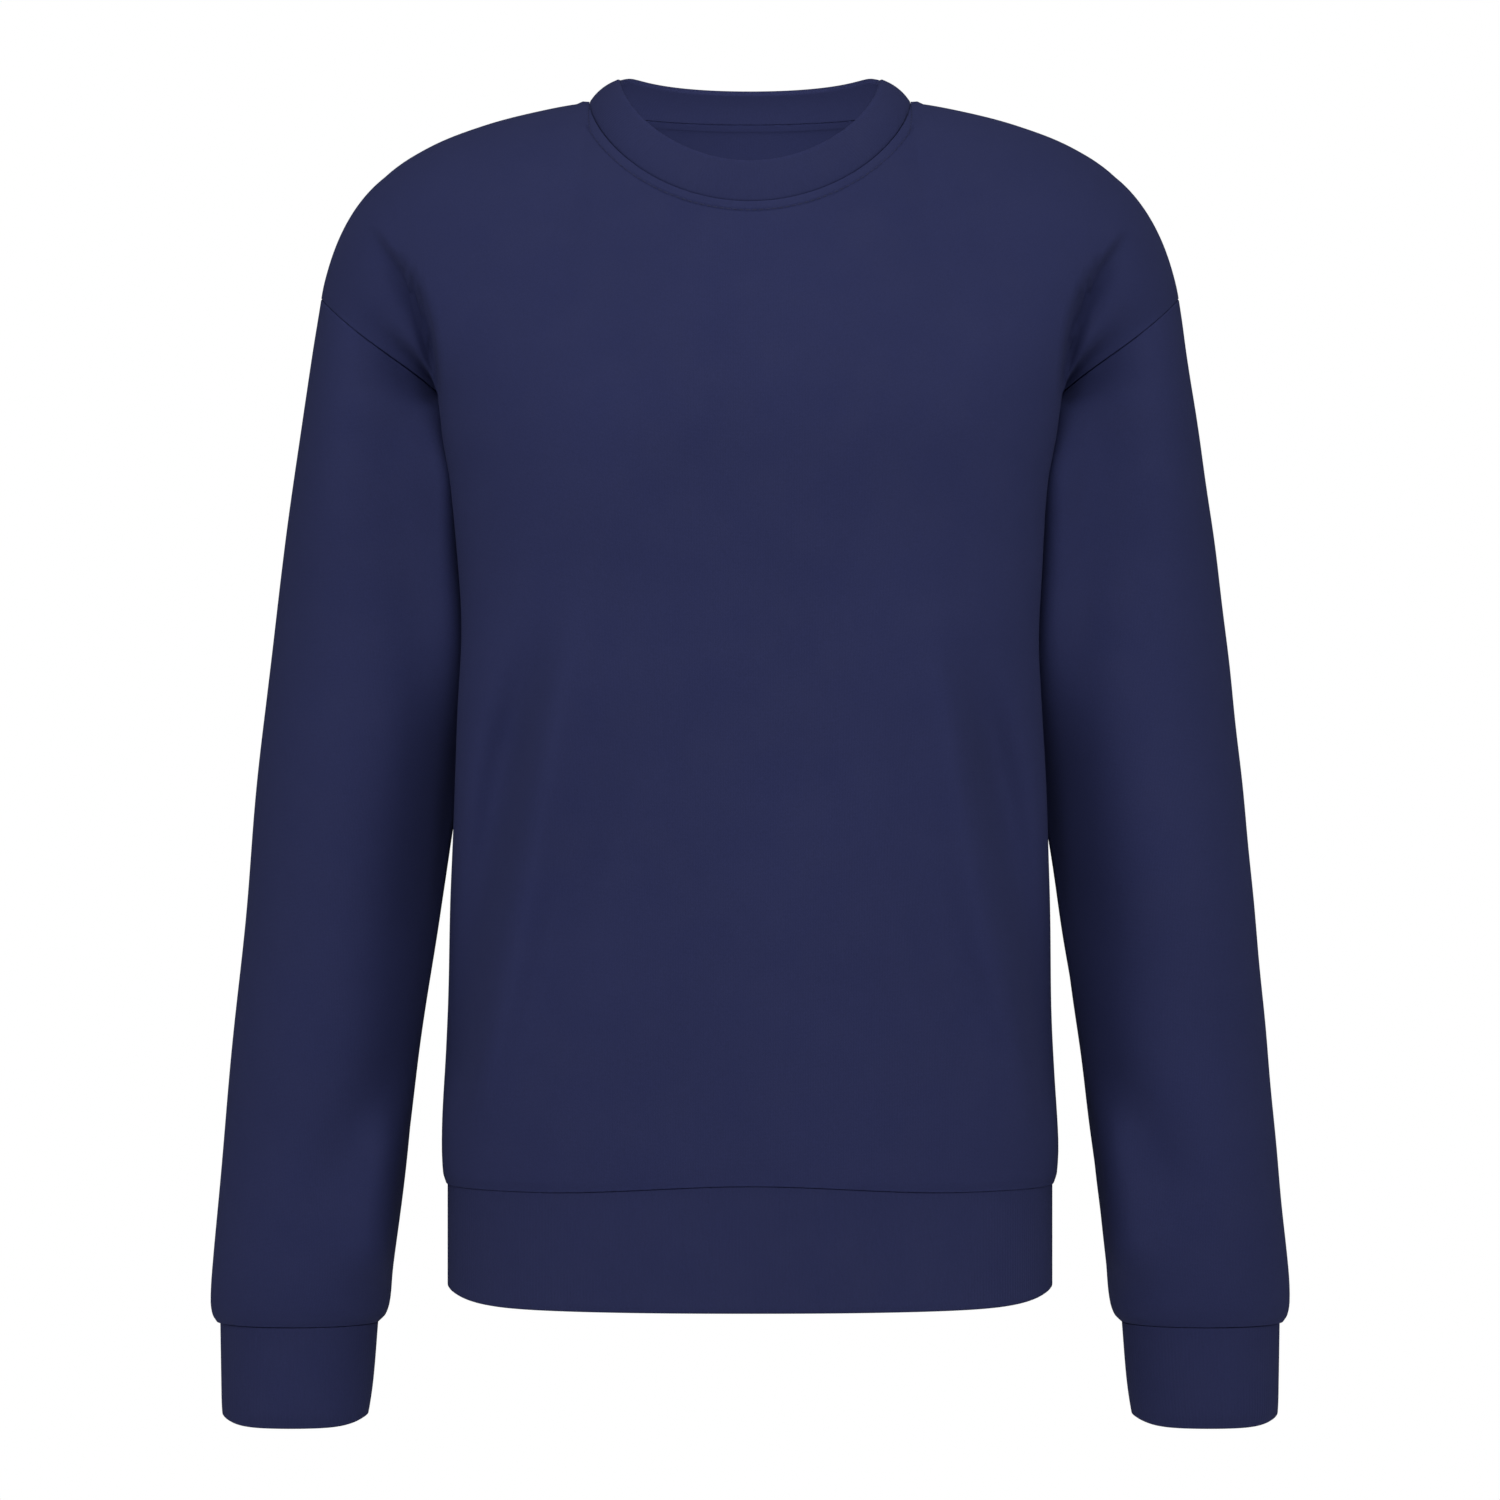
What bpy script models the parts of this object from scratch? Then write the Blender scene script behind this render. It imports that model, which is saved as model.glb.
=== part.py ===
"""A crew-neck sweatshirt with dropped shoulders, filled out as if worn, in its eight sewn pieces.

Units are metres, +Z is up, and the garment faces -Y. The origin lies between the two neck points,
where the shoulder seams meet the collar. Every size of the left half (the wearer's left, +X) is
given once, and the right half mirrors it. Each piece is a hollow wall of cloth, and neighbouring
pieces lie SEAM_GAP apart along their seam.
"""

from collections import namedtuple
import math

import bmesh
import bpy
from mathutils import Vector

# ---------------------------------------------------------------- cloth and seams
CLOTH = 0.0020          # jersey of the body and the sleeves
RIB = 0.0030            # rib bands, folded double
SEAM_GAP = 0.0003

# ---------------------------------------------------------------- neck and shoulders
NECK_HALF_WIDTH = 0.090
NECK_POINTEDNESS = 1.20

# The collar, by the way it faces: from the front (-1) over the shoulder (0) to the back (+1). "lean"
# is in degrees from upright, towards the middle.
Collar = namedtuple("Collar", "facing height lean")
COLLAR_SHAPE = (
    Collar(-1.0, 0.0250, 23),
    Collar(-0.5, 0.0220, 40),
    Collar(+0.0, 0.0215, 50),
    Collar(+0.5, 0.0270, 49),
    Collar(+1.0, 0.0250, 53),
)
COLLAR_START = 0.0005   # how far the collar's lower edge stays from the seam

# The shoulder seam, from inside the collar to the dropped shoulder point.
Shoulder = namedtuple("Shoulder", "half_width height")
SHOULDER_LINE = (
    Shoulder(0.050, +0.0010),
    Shoulder(0.090, -0.0002),
    Shoulder(0.120, -0.0053),
    Shoulder(0.150, -0.0132),
    Shoulder(0.180, -0.0252),
    Shoulder(0.205, -0.0422),
    Shoulder(0.222, -0.0650),
    Shoulder(0.234, -0.0895),
    Shoulder(0.2406, -0.1104),
)

# ---------------------------------------------------------------- armhole
SHOULDER_POINT = Vector((0.2406, 0.0, -0.1104))
UNDERARM = Vector((0.150, 0.0, -0.215))
ARMHOLE_DEPTH = 0.067   # how far the loop swells forward and back
ARMHOLE_SCOOP = 0.0155  # how far it is cut in towards the chest
SCOOP_SKEW = 1.8
ARMHOLE_SINK = 0.010    # how far the loop draws back behind the chest's fold
SINK_ALONG = 0.46       # where on the loop it does so, and over what share
SINK_SPREAD = 0.17
ARMHOLE_GAP = 0.0004    # how far the sleeve's edge stays in from the seam, and down from it
UNDERARM_GAP = 0.0016   # the same at the underarm, where the cloth folds sharply
UNDERARM_REACH = 0.40   # share of the armhole over which that wider gap closes
SLEEVE_FALL = Vector((0.15, 0.0, -0.985))  # the way that the sleeve hangs from the shoulder point
SLEEVE_SWING = Vector((0.80, 0.15, 0.0))   # how far it turns outwards and forwards from that

# ---------------------------------------------------------------- hem
HEM_SEAM = -0.6035
HEM_LIFT = 0.0045       # how far the hem seam rises at the centre of the front
HEM_LIFT_REACH = 0.118
HEM_LIFT_FADE = 0.080
HEM_BAND_HEIGHT = 0.0644
HEM_INSET = 0.0008
HEM_BAND_LIFT = 0.0070  # how far its lower edge rises at the sides
HEM_BAND_CORNER = 12    # exponent of that rise

# The largest folds of the worn cloth on the left half of each face. Each is a soft ridge, or a trough
# where "rise" is negative, down a line from a top point to a bottom point. "bow" is how far that line
# swings out sideways on its way.
Fold = namedtuple("Fold", "top_x top_height bottom_x bottom_height bow width rise")
FRONT_FOLDS = (
    Fold(0.0945, -0.262, 0.1600, -0.600, -0.0065, 0.0120, +0.0042),
    Fold(0.1065, -0.280, 0.1640, -0.590, +0.0030, 0.0100, -0.0036),
    Fold(0.0630, -0.310, 0.1340, -0.590, +0.0000, 0.0160, -0.0022),
)
BACK_FOLDS = (
    Fold(0.1020, -0.235, 0.1500, -0.590, -0.0080, 0.0150, +0.0040),
    Fold(0.0760, -0.290, 0.1220, -0.595, -0.0050, 0.0150, -0.0030),
)
FOLD_FADE = 0.35        # share of its length over which a fold comes up, and goes down again
FOLD_EDGE = 5.0         # stations over which the folds fade out before the side seam

# A face is the front or the back. Depths are at the chest, on the centre line. "bulge" is a share
# of the bulge depths below. "round" gives the exponents of the rounding over the shoulder.
Face = namedtuple("Face", "name sign chest neck_drop nape_rise hem_lift bulge round_top round_side folds")
FRONT = Face("front", -1, 0.131, 0.0645, 0.000, HEM_LIFT, 1.00, 2.2, 2.0, FRONT_FOLDS)
BACK = Face("back", +1, 0.115, 0.0030, 0.013, 0.0, 0.97, 3.0, 2.5, BACK_FOLDS)
TUCK_TURN = 0.08        # how far the tucked cloth turns outwards again where it meets the side seam
CHEST_DROP = 0.205      # how far below the shoulder line a face is deepest
CHEST_CENTRE = -0.205   # height of the lowest yoke row, on the centre line
SIDE_ROUNDING = 2.5     # exponent of the rounding across a face

# Half widths and depths of the body, from the hem seam to the shoulder. "bulge" is where a face
# turns round to the side: its half width, and its depth at full size. "side" is the side seam,
# which the arm presses in. "depth" is a share of the face's chest depth. "tuck" is how sharply the
# cloth folds in behind the bulge.
Level = namedtuple("Level", "height bulge_width bulge_depth side_width depth tuck")
LEVELS = (
    Level(-0.6035, 0.1690, 0.026, 0.1690, 0.940, 0.0),
    Level(-0.5975, 0.1707, 0.027, 0.1707, 0.950, 0.0),
    Level(-0.5800, 0.1713, 0.028, 0.1713, 0.958, 0.0),
    Level(-0.5000, 0.1678, 0.032, 0.1678, 0.975, 0.0),
    Level(-0.4320, 0.1652, 0.042, 0.1630, 0.990, 0.2),
    Level(-0.3900, 0.1636, 0.050, 0.1560, 0.997, 0.6),
    Level(-0.3400, 0.1610, 0.056, 0.1480, 1.000, 1.0),
    Level(-0.3000, 0.1592, 0.060, 0.1440, 1.000, 1.0),
    Level(-0.2580, 0.1612, 0.063, 0.1440, 1.000, 1.0),
    Level(-0.2150, 0.1645, 0.067, 0.1500, 1.000, 1.0),
    Level(-0.1920, 0.1685, 0.071, 0.1500, 1.000, 0.9),
    Level(-0.1670, 0.1720, 0.074, 0.1500, 1.000, 0.6),
    Level(-0.1400, 0.1860, 0.068, 0.1500, 1.000, 0.2),
    Level(-0.1150, 0.2050, 0.052, 0.1500, 1.000, 0.0),
    Level(-0.0870, 0.2280, 0.030, 0.1500, 1.000, 0.0),
    Level(-0.0450, 0.2500, 0.008, 0.1500, 1.000, 0.0),
    Level(+0.0100, 0.2620, 0.000, 0.1500, 1.000, 0.0),
)

# Where the bulge line runs beside the armhole, from the underarm (0) to the shoulder (1).
Bulge = namedtuple("Bulge", "along half_width height")
BULGE_LINE = (
    Bulge(0.00, 0.1645, -0.215),
    Bulge(0.25, 0.1685, -0.192),
    Bulge(0.44, 0.1720, -0.167),
    Bulge(0.70, 0.1870, -0.115),
    Bulge(1.00, 0.2050, -0.0422),
)

# Level sections of the sleeve below the armpit: the outer and inner line, half the depth, and how
# far the section's middle lies in front of the side seams.
Section = namedtuple("Section", "height outer inner half_depth forward")
SLEEVE_SECTIONS = (
    Section(-0.6830, 0.2984, 0.2078, 0.0370, 0.010),
    Section(-0.6790, 0.3008, 0.2040, 0.0392, 0.010),
    Section(-0.6710, 0.3019, 0.2014, 0.0422, 0.010),
    Section(-0.6500, 0.3006, 0.1992, 0.0458, 0.010),
    Section(-0.6000, 0.2962, 0.1934, 0.050, 0.009),
    Section(-0.5330, 0.2900, 0.1856, 0.054, 0.008),
    Section(-0.4660, 0.2840, 0.1755, 0.059, 0.006),
    Section(-0.4000, 0.2780, 0.1655, 0.063, 0.003),
    Section(-0.3300, 0.2706, 0.1535, 0.066, 0.000),
)
CAP_END = SLEEVE_SECTIONS[-1].height
SLEEVE_END = SLEEVE_SECTIONS[0].height

CUFF_SECTIONS = (
    Section(-0.7383, 0.2944, 0.2150, 0.0320, 0.010),
    Section(-0.7330, 0.2955, 0.2134, 0.0340, 0.010),
    Section(-0.7150, 0.2960, 0.2108, 0.0352, 0.010),
    Section(-0.6833, 0.2965, 0.2082, 0.0364, 0.010),
)
CUFF_TOP, CUFF_BOTTOM = CUFF_SECTIONS[-1].height, CUFF_SECTIONS[0].height
CUFF_LIFT = 0.0045      # how far its lower edge rises at its outer and inner lines
CUFF_CORNER = 6         # exponent of that rise

# ---------------------------------------------------------------- facets
NECK_CELLS = 6          # half of the neckline, from the centre to the neck point
SHOULDER_CELLS = 4      # from the neck point to the bulge line
TUCK_CELLS = 3          # from the bulge line to the side seam or the armhole
BULGE_STATION = NECK_CELLS + SHOULDER_CELLS
EDGE_STATION = BULGE_STATION + TUCK_CELLS
BODY_ROWS = (HEM_SEAM, -0.598, -0.580, -0.550, -0.512, -0.472, -0.434,
             -0.398, -0.362, -0.328, -0.293, -0.255, UNDERARM.z)
ARMHOLE_CELLS = 10
YOKE_CROWDING = 2.0
CAP_CELLS = 5           # down the sleeve, from the armhole to CAP_END
SLEEVE_ROWS = (-0.366, -0.406, -0.446, -0.488, -0.530, -0.572, -0.614, -0.650, -0.674, SLEEVE_END)


# ---------------------------------------------------------------- small tools
def mix(a, b, share):
    return a * (1.0 - share) + b * share


def clamp(value, low=0.0, high=1.0):
    return min(high, max(low, value))


def share_between(low, high, value):
    return (value - low) / (high - low)


def ease(share):
    """Goes from 0 to 1 with a level start and end."""
    share = clamp(share)
    return share * share * (3.0 - 2.0 * share)


def hermite(start, end, start_pull, end_pull, share):
    """The cubic curve from start to end that leaves along start_pull and arrives along end_pull."""
    square = share * share
    cube = square * share
    return (
        start * (2 * cube - 3 * square + 1)
        + start_pull * (cube - 2 * square + share)
        + end * (3 * square - 2 * cube)
        + end_pull * (cube - square)
    )


def read(table, column, at):
    """A column of a table at some value of its first column, on a smooth curve through the rows."""
    places = [row[0] for row in table]
    values = [getattr(row, column) for row in table]
    at = clamp(at, places[0], places[-1])
    last = len(places) - 1
    i = max(k for k in range(last) if places[k] <= at)

    def slope(k):
        low, high = max(k - 1, 0), min(k + 1, last)
        return (values[high] - values[low]) / (places[high] - places[low])

    width = places[i + 1] - places[i]
    share = (at - places[i]) / width
    return hermite(values[i], values[i + 1], slope(i) * width, slope(i + 1) * width, share)


def mirrored(vector):
    return Vector((-vector.x, vector.y, vector.z))


def surface_normal(point_at, a, b, a_range, b_range):
    """The normal of a surface point_at(a, b), on the side where b turns left of a."""
    step = 0.02
    a_low, a_high = clamp(a - step, *a_range), clamp(a + step, *a_range)
    b_low, b_high = clamp(b - step / 4, *b_range), clamp(b + step / 4, *b_range)
    along = point_at(a_high, b) - point_at(a_low, b)
    upward = point_at(a, b_high) - point_at(a, b_low)
    return along.cross(upward).normalized()


# ---------------------------------------------------------------- the form of the body
def face_depth(face, x, height):
    """Distance of a face from the plane of the side seams, at half width x and some height."""
    nape = face.nape_rise * max(0.0, 1.0 - (x / NECK_HALF_WIDTH) ** 2) ** 1.5
    below = clamp((read(SHOULDER_LINE, "height", x) + nape - height) / CHEST_DROP)
    rounding = (1.0 - (1.0 - below) ** face.round_top) ** (1.0 / face.round_side)
    middle = face.chest * rounding * read(LEVELS, "depth", height)
    bulge = min(middle, face.bulge * read(LEVELS, "bulge_depth", height))
    sideways = clamp(x / read(LEVELS, "bulge_width", height))
    across = (1.0 - sideways ** SIDE_ROUNDING) ** (1.0 / SIDE_ROUNDING)
    return bulge + (middle - bulge) * across


def neckline(face, share):
    """(half width, height) on a face's neckline, from its centre (0) to the neck point (1)."""
    down = 1.0 - ease(share)
    x = NECK_HALF_WIDTH * math.sqrt(1.0 - down ** 2)
    neck_point = read(SHOULDER_LINE, "height", NECK_HALF_WIDTH)
    return x, neck_point - face.neck_drop * down ** NECK_POINTEDNESS


def armhole(sign, along):
    """A point of the armhole on one face, from the underarm (0) to the shoulder point (1)."""
    rise = (1.0 - math.cos(along * math.pi)) / 2
    line = SHOULDER_POINT - UNDERARM
    inward = Vector((-line.z, 0.0, line.x)).normalized()
    scoop = ARMHOLE_SCOOP * math.sin(math.pi * (1.0 - rise) ** SCOOP_SKEW)
    sink = ARMHOLE_SINK * math.exp(-((along - SINK_ALONG) / SINK_SPREAD) ** 2)
    swell = Vector((0.0, sign * (ARMHOLE_DEPTH - sink) * math.sin(along * math.pi), 0.0))
    return UNDERARM + line * rise + inward * scoop + swell


def across_share(station):
    return math.sin(station / BULGE_STATION * math.pi / 2)


def yoke_place(face, station, up):
    """(x, height) above the underarm, where the rows spread out to the neck and the shoulder. They
    crowd together at the top, where the cloth turns over to the shoulder seam."""
    share = station / BULGE_STATION
    rise = 1.0 - (1.0 - up) ** mix(YOKE_CROWDING, 1.0, share ** 2)
    first, last = BULGE_LINE[0], BULGE_LINE[-1]
    low = Vector((first.half_width * across_share(station), mix(CHEST_CENTRE, first.height, share ** 2)))
    if station <= NECK_CELLS:
        high = Vector(neckline(face, station / NECK_CELLS))
    else:
        x = mix(NECK_HALF_WIDTH, last.half_width, (station - NECK_CELLS) / SHOULDER_CELLS)
        high = Vector((x, read(SHOULDER_LINE, "height", x)))
    bulge = Vector((read(BULGE_LINE, "half_width", up), read(BULGE_LINE, "height", up)))
    straight = mix(Vector((first.half_width, first.height)), Vector((last.half_width, last.height)), up)
    return mix(low, high, rise) + (bulge - straight) * share


def body_place(face, station, height):
    """(x, height) below the underarm. The rows bow up in the middle, at the chest and at the hem."""
    x = read(LEVELS, "bulge_width", height) * across_share(station)
    share = station / BULGE_STATION
    chest_lift = (CHEST_CENTRE - UNDERARM.z) * (1.0 - share ** 2)
    hem_lift = face.hem_lift * (1.0 - ease(x / HEM_LIFT_REACH))
    height += chest_lift * (1.0 - ease((UNDERARM.z - height) / 0.1))
    height += hem_lift * (1.0 - ease((height - HEM_SEAM) / HEM_LIFT_FADE))
    return x, height


def face_point(face, station, up):
    """A point of the left half of a face. station runs from the centre (0) to the side seam or the
    armhole (EDGE_STATION), and up from the hem seam (0) past the underarm (1) to the top (2)."""
    row = mix(HEM_SEAM, UNDERARM.z, up) if up <= 1.0 else None

    def on_row(place):
        x, height = yoke_place(face, place, up - 1.0) if row is None else body_place(face, place, row)
        return Vector((x, face.sign * face_depth(face, x, height), height))

    if station <= BULGE_STATION:
        return on_row(station)

    bulge = on_row(BULGE_STATION)
    leaving = (bulge - on_row(BULGE_STATION - 0.4)).normalized()
    arriving = Vector((TUCK_TURN, -face.sign, 0.0))
    tuck = clamp(read(LEVELS, "tuck", bulge.z))
    if row is None:
        edge = armhole(face.sign, up - 1.0)
        arriving = mix(down_the_sleeve(face, up - 1.0), arriving, tuck).normalized()
    else:
        edge = Vector((read(LEVELS, "side_width", row), 0.0, row))
    reach = (edge - bulge).length
    start_pull = leaving * reach * mix(1.0, 0.35, tuck)
    end_pull = arriving * reach * mix(1.0, 2.0, tuck)
    return hermite(bulge, edge, start_pull, end_pull, (station - BULGE_STATION) / TUCK_CELLS)


def down_the_sleeve(face, along):
    """The way across the armhole seam, in the plane of the sleeve's cloth there."""
    low, high = max(along - 0.01, 0.0), min(along + 0.01, 1.0)
    seam = (armhole(face.sign, high) - armhole(face.sign, low)).normalized()
    across = SLEEVE_FALL - seam * SLEEVE_FALL.dot(seam)
    return across.normalized() if across.length > 0.2 else SLEEVE_FALL.normalized()


def fold_rise(folds, x, height):
    """How far the folds lift the cloth, at half width x and some height."""
    total = 0.0
    for fold in folds:
        share = share_between(fold.top_height, fold.bottom_height, height)
        middle = mix(fold.top_x, fold.bottom_x, share) + fold.bow * math.sin(clamp(share) * math.pi)
        fade = ease(share / FOLD_FADE) * ease((1.0 - share) / FOLD_FADE)
        total += fold.rise * fade * math.exp(-((x - middle) / fold.width) ** 2)
    return total


def face_normal(face, station, up):
    def point_at(a, b):
        return face_point(face, a, b)

    zone = (0.0, 1.0) if up <= 1.0 else (1.0, 2.0)
    return surface_normal(point_at, station, up, (0.0, EDGE_STATION), zone) * -face.sign


# ---------------------------------------------------------------- the form of the sleeves
def section_point(sections, around, height):
    """A point of a level section. around runs from the inner line (0), over the front, to the
    outer line (1) and over the back to the inner line (2)."""
    outer, inner = read(sections, "outer", height), read(sections, "inner", height)
    angle = around * math.pi
    x = (outer + inner) / 2 - (outer - inner) / 2 * math.cos(angle)
    y = -read(sections, "forward", height) - read(sections, "half_depth", height) * math.sin(angle)
    return Vector((x, y, height))


def sleeve_point(around, down):
    """A point of the left sleeve. down runs from the armhole (0) past CAP_END (1) to the cuff (2)."""
    if down >= 1.0:
        return section_point(SLEEVE_SECTIONS, around, mix(CAP_END, SLEEVE_END, down - 1.0))
    around %= 2.0
    start = armhole(-1, around) if around <= 1.0 else armhole(+1, 2.0 - around)
    end = section_point(SLEEVE_SECTIONS, around, CAP_END)
    below = section_point(SLEEVE_SECTIONS, around, CAP_END - 0.01)
    side = math.sin(around * math.pi)
    low = 1.0 - min(around, 2.0 - around)
    leaving = SLEEVE_FALL + Vector((SLEEVE_SWING.x * abs(side) * low, -SLEEVE_SWING.y * side, 0.0))
    reach = (end - start).length
    return hermite(start, end, leaving.normalized() * reach, (below - end).normalized() * reach, down)


def sleeve_normal(around, down):
    zone = (0.0, 1.0) if down <= 1.0 else (1.0, 2.0)
    return surface_normal(sleeve_point, around, down, (-1.0, 3.0), zone) * -1.0


# ---------------------------------------------------------------- solids
def fabric(name, colour, roughness):
    material = bpy.data.materials.new(name)
    material.use_nodes = True
    shader = material.node_tree.nodes["Principled BSDF"]
    shader.inputs["Base Color"].default_value = (*colour, 1.0)
    shader.inputs["Roughness"].default_value = roughness
    shader.inputs["Metallic"].default_value = 0.0
    return material


def solid(name, points, faces, material):
    """One object from points and faces, with its faces turned outwards."""
    mesh = bpy.data.meshes.new(name)
    mesh.from_pydata(points, [], faces)
    work = bmesh.new()
    work.from_mesh(mesh)
    bmesh.ops.recalc_face_normals(work, faces=work.faces)
    work.to_mesh(mesh)
    work.free()
    mesh.shade_smooth()
    mesh.set_sharp_from_angle(angle=math.radians(50))
    mesh.materials.append(material)
    thing = bpy.data.objects.new(name, mesh)
    bpy.context.scene.collection.objects.link(thing)
    return thing


def wall(name, grid, thickness, material, wraps=False):
    """A wall of cloth. grid holds rows of (outer point, outward normal). Where wraps is true, each
    row closes on itself."""
    rows, columns = len(grid), len(grid[0])
    outer = [point for row in grid for point, _ in row]
    inner = [point - normal * thickness for row in grid for point, normal in row]
    behind = len(outer)

    def at(i, j):
        return i * columns + j % columns

    faces = []
    for i in range(rows - 1):
        for j in range(columns if wraps else columns - 1):
            quad = (at(i, j), at(i, j + 1), at(i + 1, j + 1), at(i + 1, j))
            faces.append(quad)
            faces.append(tuple(behind + k for k in reversed(quad)))
    bottom = [at(0, j) for j in range(columns)]
    top = [at(rows - 1, j) for j in range(columns)]
    if wraps:
        loops = (bottom, top)
    else:
        left = [at(i, columns - 1) for i in range(rows)]
        right = [at(i, 0) for i in range(rows)]
        loops = (bottom[:-1] + left[:-1] + top[:0:-1] + right[:0:-1],)
    for loop in loops:
        for a, b in zip(loop, loop[1:] + loop[:1]):
            faces.append((a, b, behind + b, behind + a))
    return solid(name, outer + inner, faces, material)


def band(name, sections, material):
    """A closed ring of cloth from its cross-sections, each a closed line of points."""
    size = len(sections[0])
    points = [point for section in sections for point in section]
    faces = []
    for i in range(len(sections)):
        here, there = i * size, (i + 1) % len(sections) * size
        for j in range(size):
            k = (j + 1) % size
            faces.append((here + j, there + j, there + k, here + k))
    return solid(name, points, faces, material)


def folded(outer_line, inward):
    """The cross-section of a rib band, folded over at the last point of its outer line."""
    inner_line = [point + inward * RIB for point in outer_line]
    onward = (outer_line[-1] - outer_line[-2]).normalized()
    fold = mix(outer_line[-1], inner_line[-1], 0.5) + onward * RIB / 2
    return outer_line + [fold] + inner_line[::-1]


# ---------------------------------------------------------------- the pieces
def face_row(face, up):
    """A whole row of (point, normal), from the right side to the left."""
    half = []
    for station in range(EDGE_STATION + 1):
        point, normal = face_point(face, station, up), face_normal(face, station, up)
        on_side_seam = up <= 1.0 and station == EDGE_STATION
        on_shoulder_seam = up == 2.0 and station >= NECK_CELLS
        if on_side_seam or on_shoulder_seam:
            point.y = face.sign * SEAM_GAP / 2
            normal.y = 0.0
            normal.normalize()
        elif station == EDGE_STATION:
            point += (half[-1][0] - point).normalized() * SEAM_GAP / 2
        else:
            edge_fade = ease((EDGE_STATION - station) / FOLD_EDGE)
            point += normal * fold_rise(face.folds, point.x, point.z) * edge_fade
        half.append((point, normal))
    return [(mirrored(point), mirrored(normal)) for point, normal in half[:0:-1]] + half


def make_face(face, material):
    rows = [share_between(HEM_SEAM, UNDERARM.z, height) for height in BODY_ROWS]
    rows += [1.0 + k / ARMHOLE_CELLS for k in range(1, ARMHOLE_CELLS + 1)]
    return wall(face.name, [face_row(face, up) for up in rows], CLOTH, material)


def make_sleeve(name, material, mirror):
    rows = [k / CAP_CELLS for k in range(CAP_CELLS + 1)]
    rows += [1.0 + share_between(CAP_END, SLEEVE_END, height) for height in SLEEVE_ROWS]
    turns = [k / ARMHOLE_CELLS for k in range(2 * ARMHOLE_CELLS)]
    grid = [[(sleeve_point(turn, down), sleeve_normal(turn, down)) for turn in turns] for down in rows]
    middle = mix(SHOULDER_POINT, UNDERARM, 0.5)
    for turn, (point, _) in zip(turns, grid[0]):
        inward = Vector((middle.x - point.x, middle.y - point.y, 0.0)).normalized()
        under = 1.0 - clamp(min(turn, 2.0 - turn) / UNDERARM_REACH)
        point += (inward + Vector((0.0, 0.0, -1.0))) * mix(ARMHOLE_GAP, UNDERARM_GAP, under)
    if mirror:
        grid = [[(mirrored(point), mirrored(normal)) for point, normal in row] for row in grid]
    return wall(name, grid, CLOTH, material, wraps=True)


def make_cuff(name, material, mirror):
    sections = []
    for k in range(2 * ARMHOLE_CELLS):
        turn = k / ARMHOLE_CELLS
        inward = Vector((math.cos(turn * math.pi), math.sin(turn * math.pi), 0.0))
        bottom = CUFF_BOTTOM + CUFF_LIFT * inward.x ** CUFF_CORNER
        heights = [mix(CUFF_TOP, bottom, share) for share in (0.0, 0.5, 0.9, 1.0)]
        section = folded([section_point(CUFF_SECTIONS, turn, height) for height in heights], inward)
        sections.append([mirrored(point) for point in section] if mirror else section)
    return band(name, sections, material)


def seam_loop(up, stations):
    """The points of a seam all round the body: over the front to the left, and back over the back."""
    keep = slice(EDGE_STATION - stations, EDGE_STATION + stations)
    front = [point for point, _ in face_row(FRONT, up)[keep]]
    back = [point for point, _ in face_row(BACK, up)[::-1][keep]]
    return front + back


def make_hem_band(material):
    loop = seam_loop(0.0, EDGE_STATION)
    half_width = max(seam.x for seam in loop)
    down = Vector((0.0, 0.0, -1.0))
    sections = []
    for i, seam in enumerate(loop):
        along = loop[(i + 1) % len(loop)] - loop[i - 1]
        inward = Vector((-along.y, along.x, 0.0)).normalized()
        start = seam + inward * HEM_INSET + down * SEAM_GAP
        rise = HEM_BAND_LIFT * (abs(seam.x) / half_width) ** HEM_BAND_CORNER
        bottom = HEM_SEAM - HEM_BAND_HEIGHT + RIB / 2 + rise
        line = [mix(start, Vector((start.x, start.y, bottom)), share) for share in (0.0, 0.35, 0.7, 1.0)]
        sections.append(folded(line, inward))
    return band("hem_band", sections, material)


def make_collar(material):
    loop = seam_loop(2.0, NECK_CELLS)
    upright = Vector((0.0, 0.0, 1.0))
    sections = []
    for i, seam in enumerate(loop):
        tangent = (loop[(i + 1) % len(loop)] - loop[i - 1]).normalized()
        inward = Vector((-tangent.y, tangent.x, 0.0)).normalized()
        height = read(COLLAR_SHAPE, "height", -inward.y)
        lean = math.radians(read(COLLAR_SHAPE, "lean", -inward.y))
        along = inward * math.sin(lean) + upright * math.cos(lean)
        along = (along - tangent * along.dot(tangent)).normalized()
        reaches = (COLLAR_START, height * 0.35, height * 0.65, height - RIB / 2)
        line = [seam + along * reach for reach in reaches]
        sections.append(folded(line, along.cross(tangent)))
    return band("collar", sections, material)


def main():
    for thing in list(bpy.data.objects):
        bpy.data.objects.remove(thing, do_unlink=True)
    jersey = fabric("navy jersey", (0.020, 0.024, 0.073), 0.85)
    rib = fabric("navy rib", (0.018, 0.021, 0.065), 0.85)
    make_face(FRONT, jersey)
    make_face(BACK, jersey)
    make_sleeve("sleeve_left", jersey, mirror=False)
    make_sleeve("sleeve_right", jersey, mirror=True)
    make_cuff("cuff_left", rib, mirror=False)
    make_cuff("cuff_right", rib, mirror=True)
    make_hem_band(rib)
    make_collar(rib)


main()
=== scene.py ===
"""The looks of a crew-neck sweatshirt with dropped shoulders, filled out as if worn.

Each sewn piece is a thin, fine shell of cloth on the form of its solid, with rounded seam edges, a
topstitched neckline and soft creases. Two knits, a smooth jersey and a rib, cover all of it.
Units are metres, +Z is up and the garment faces -Y. "Left" is the wearer's left, +X.
"""

from collections import namedtuple
import math

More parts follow.
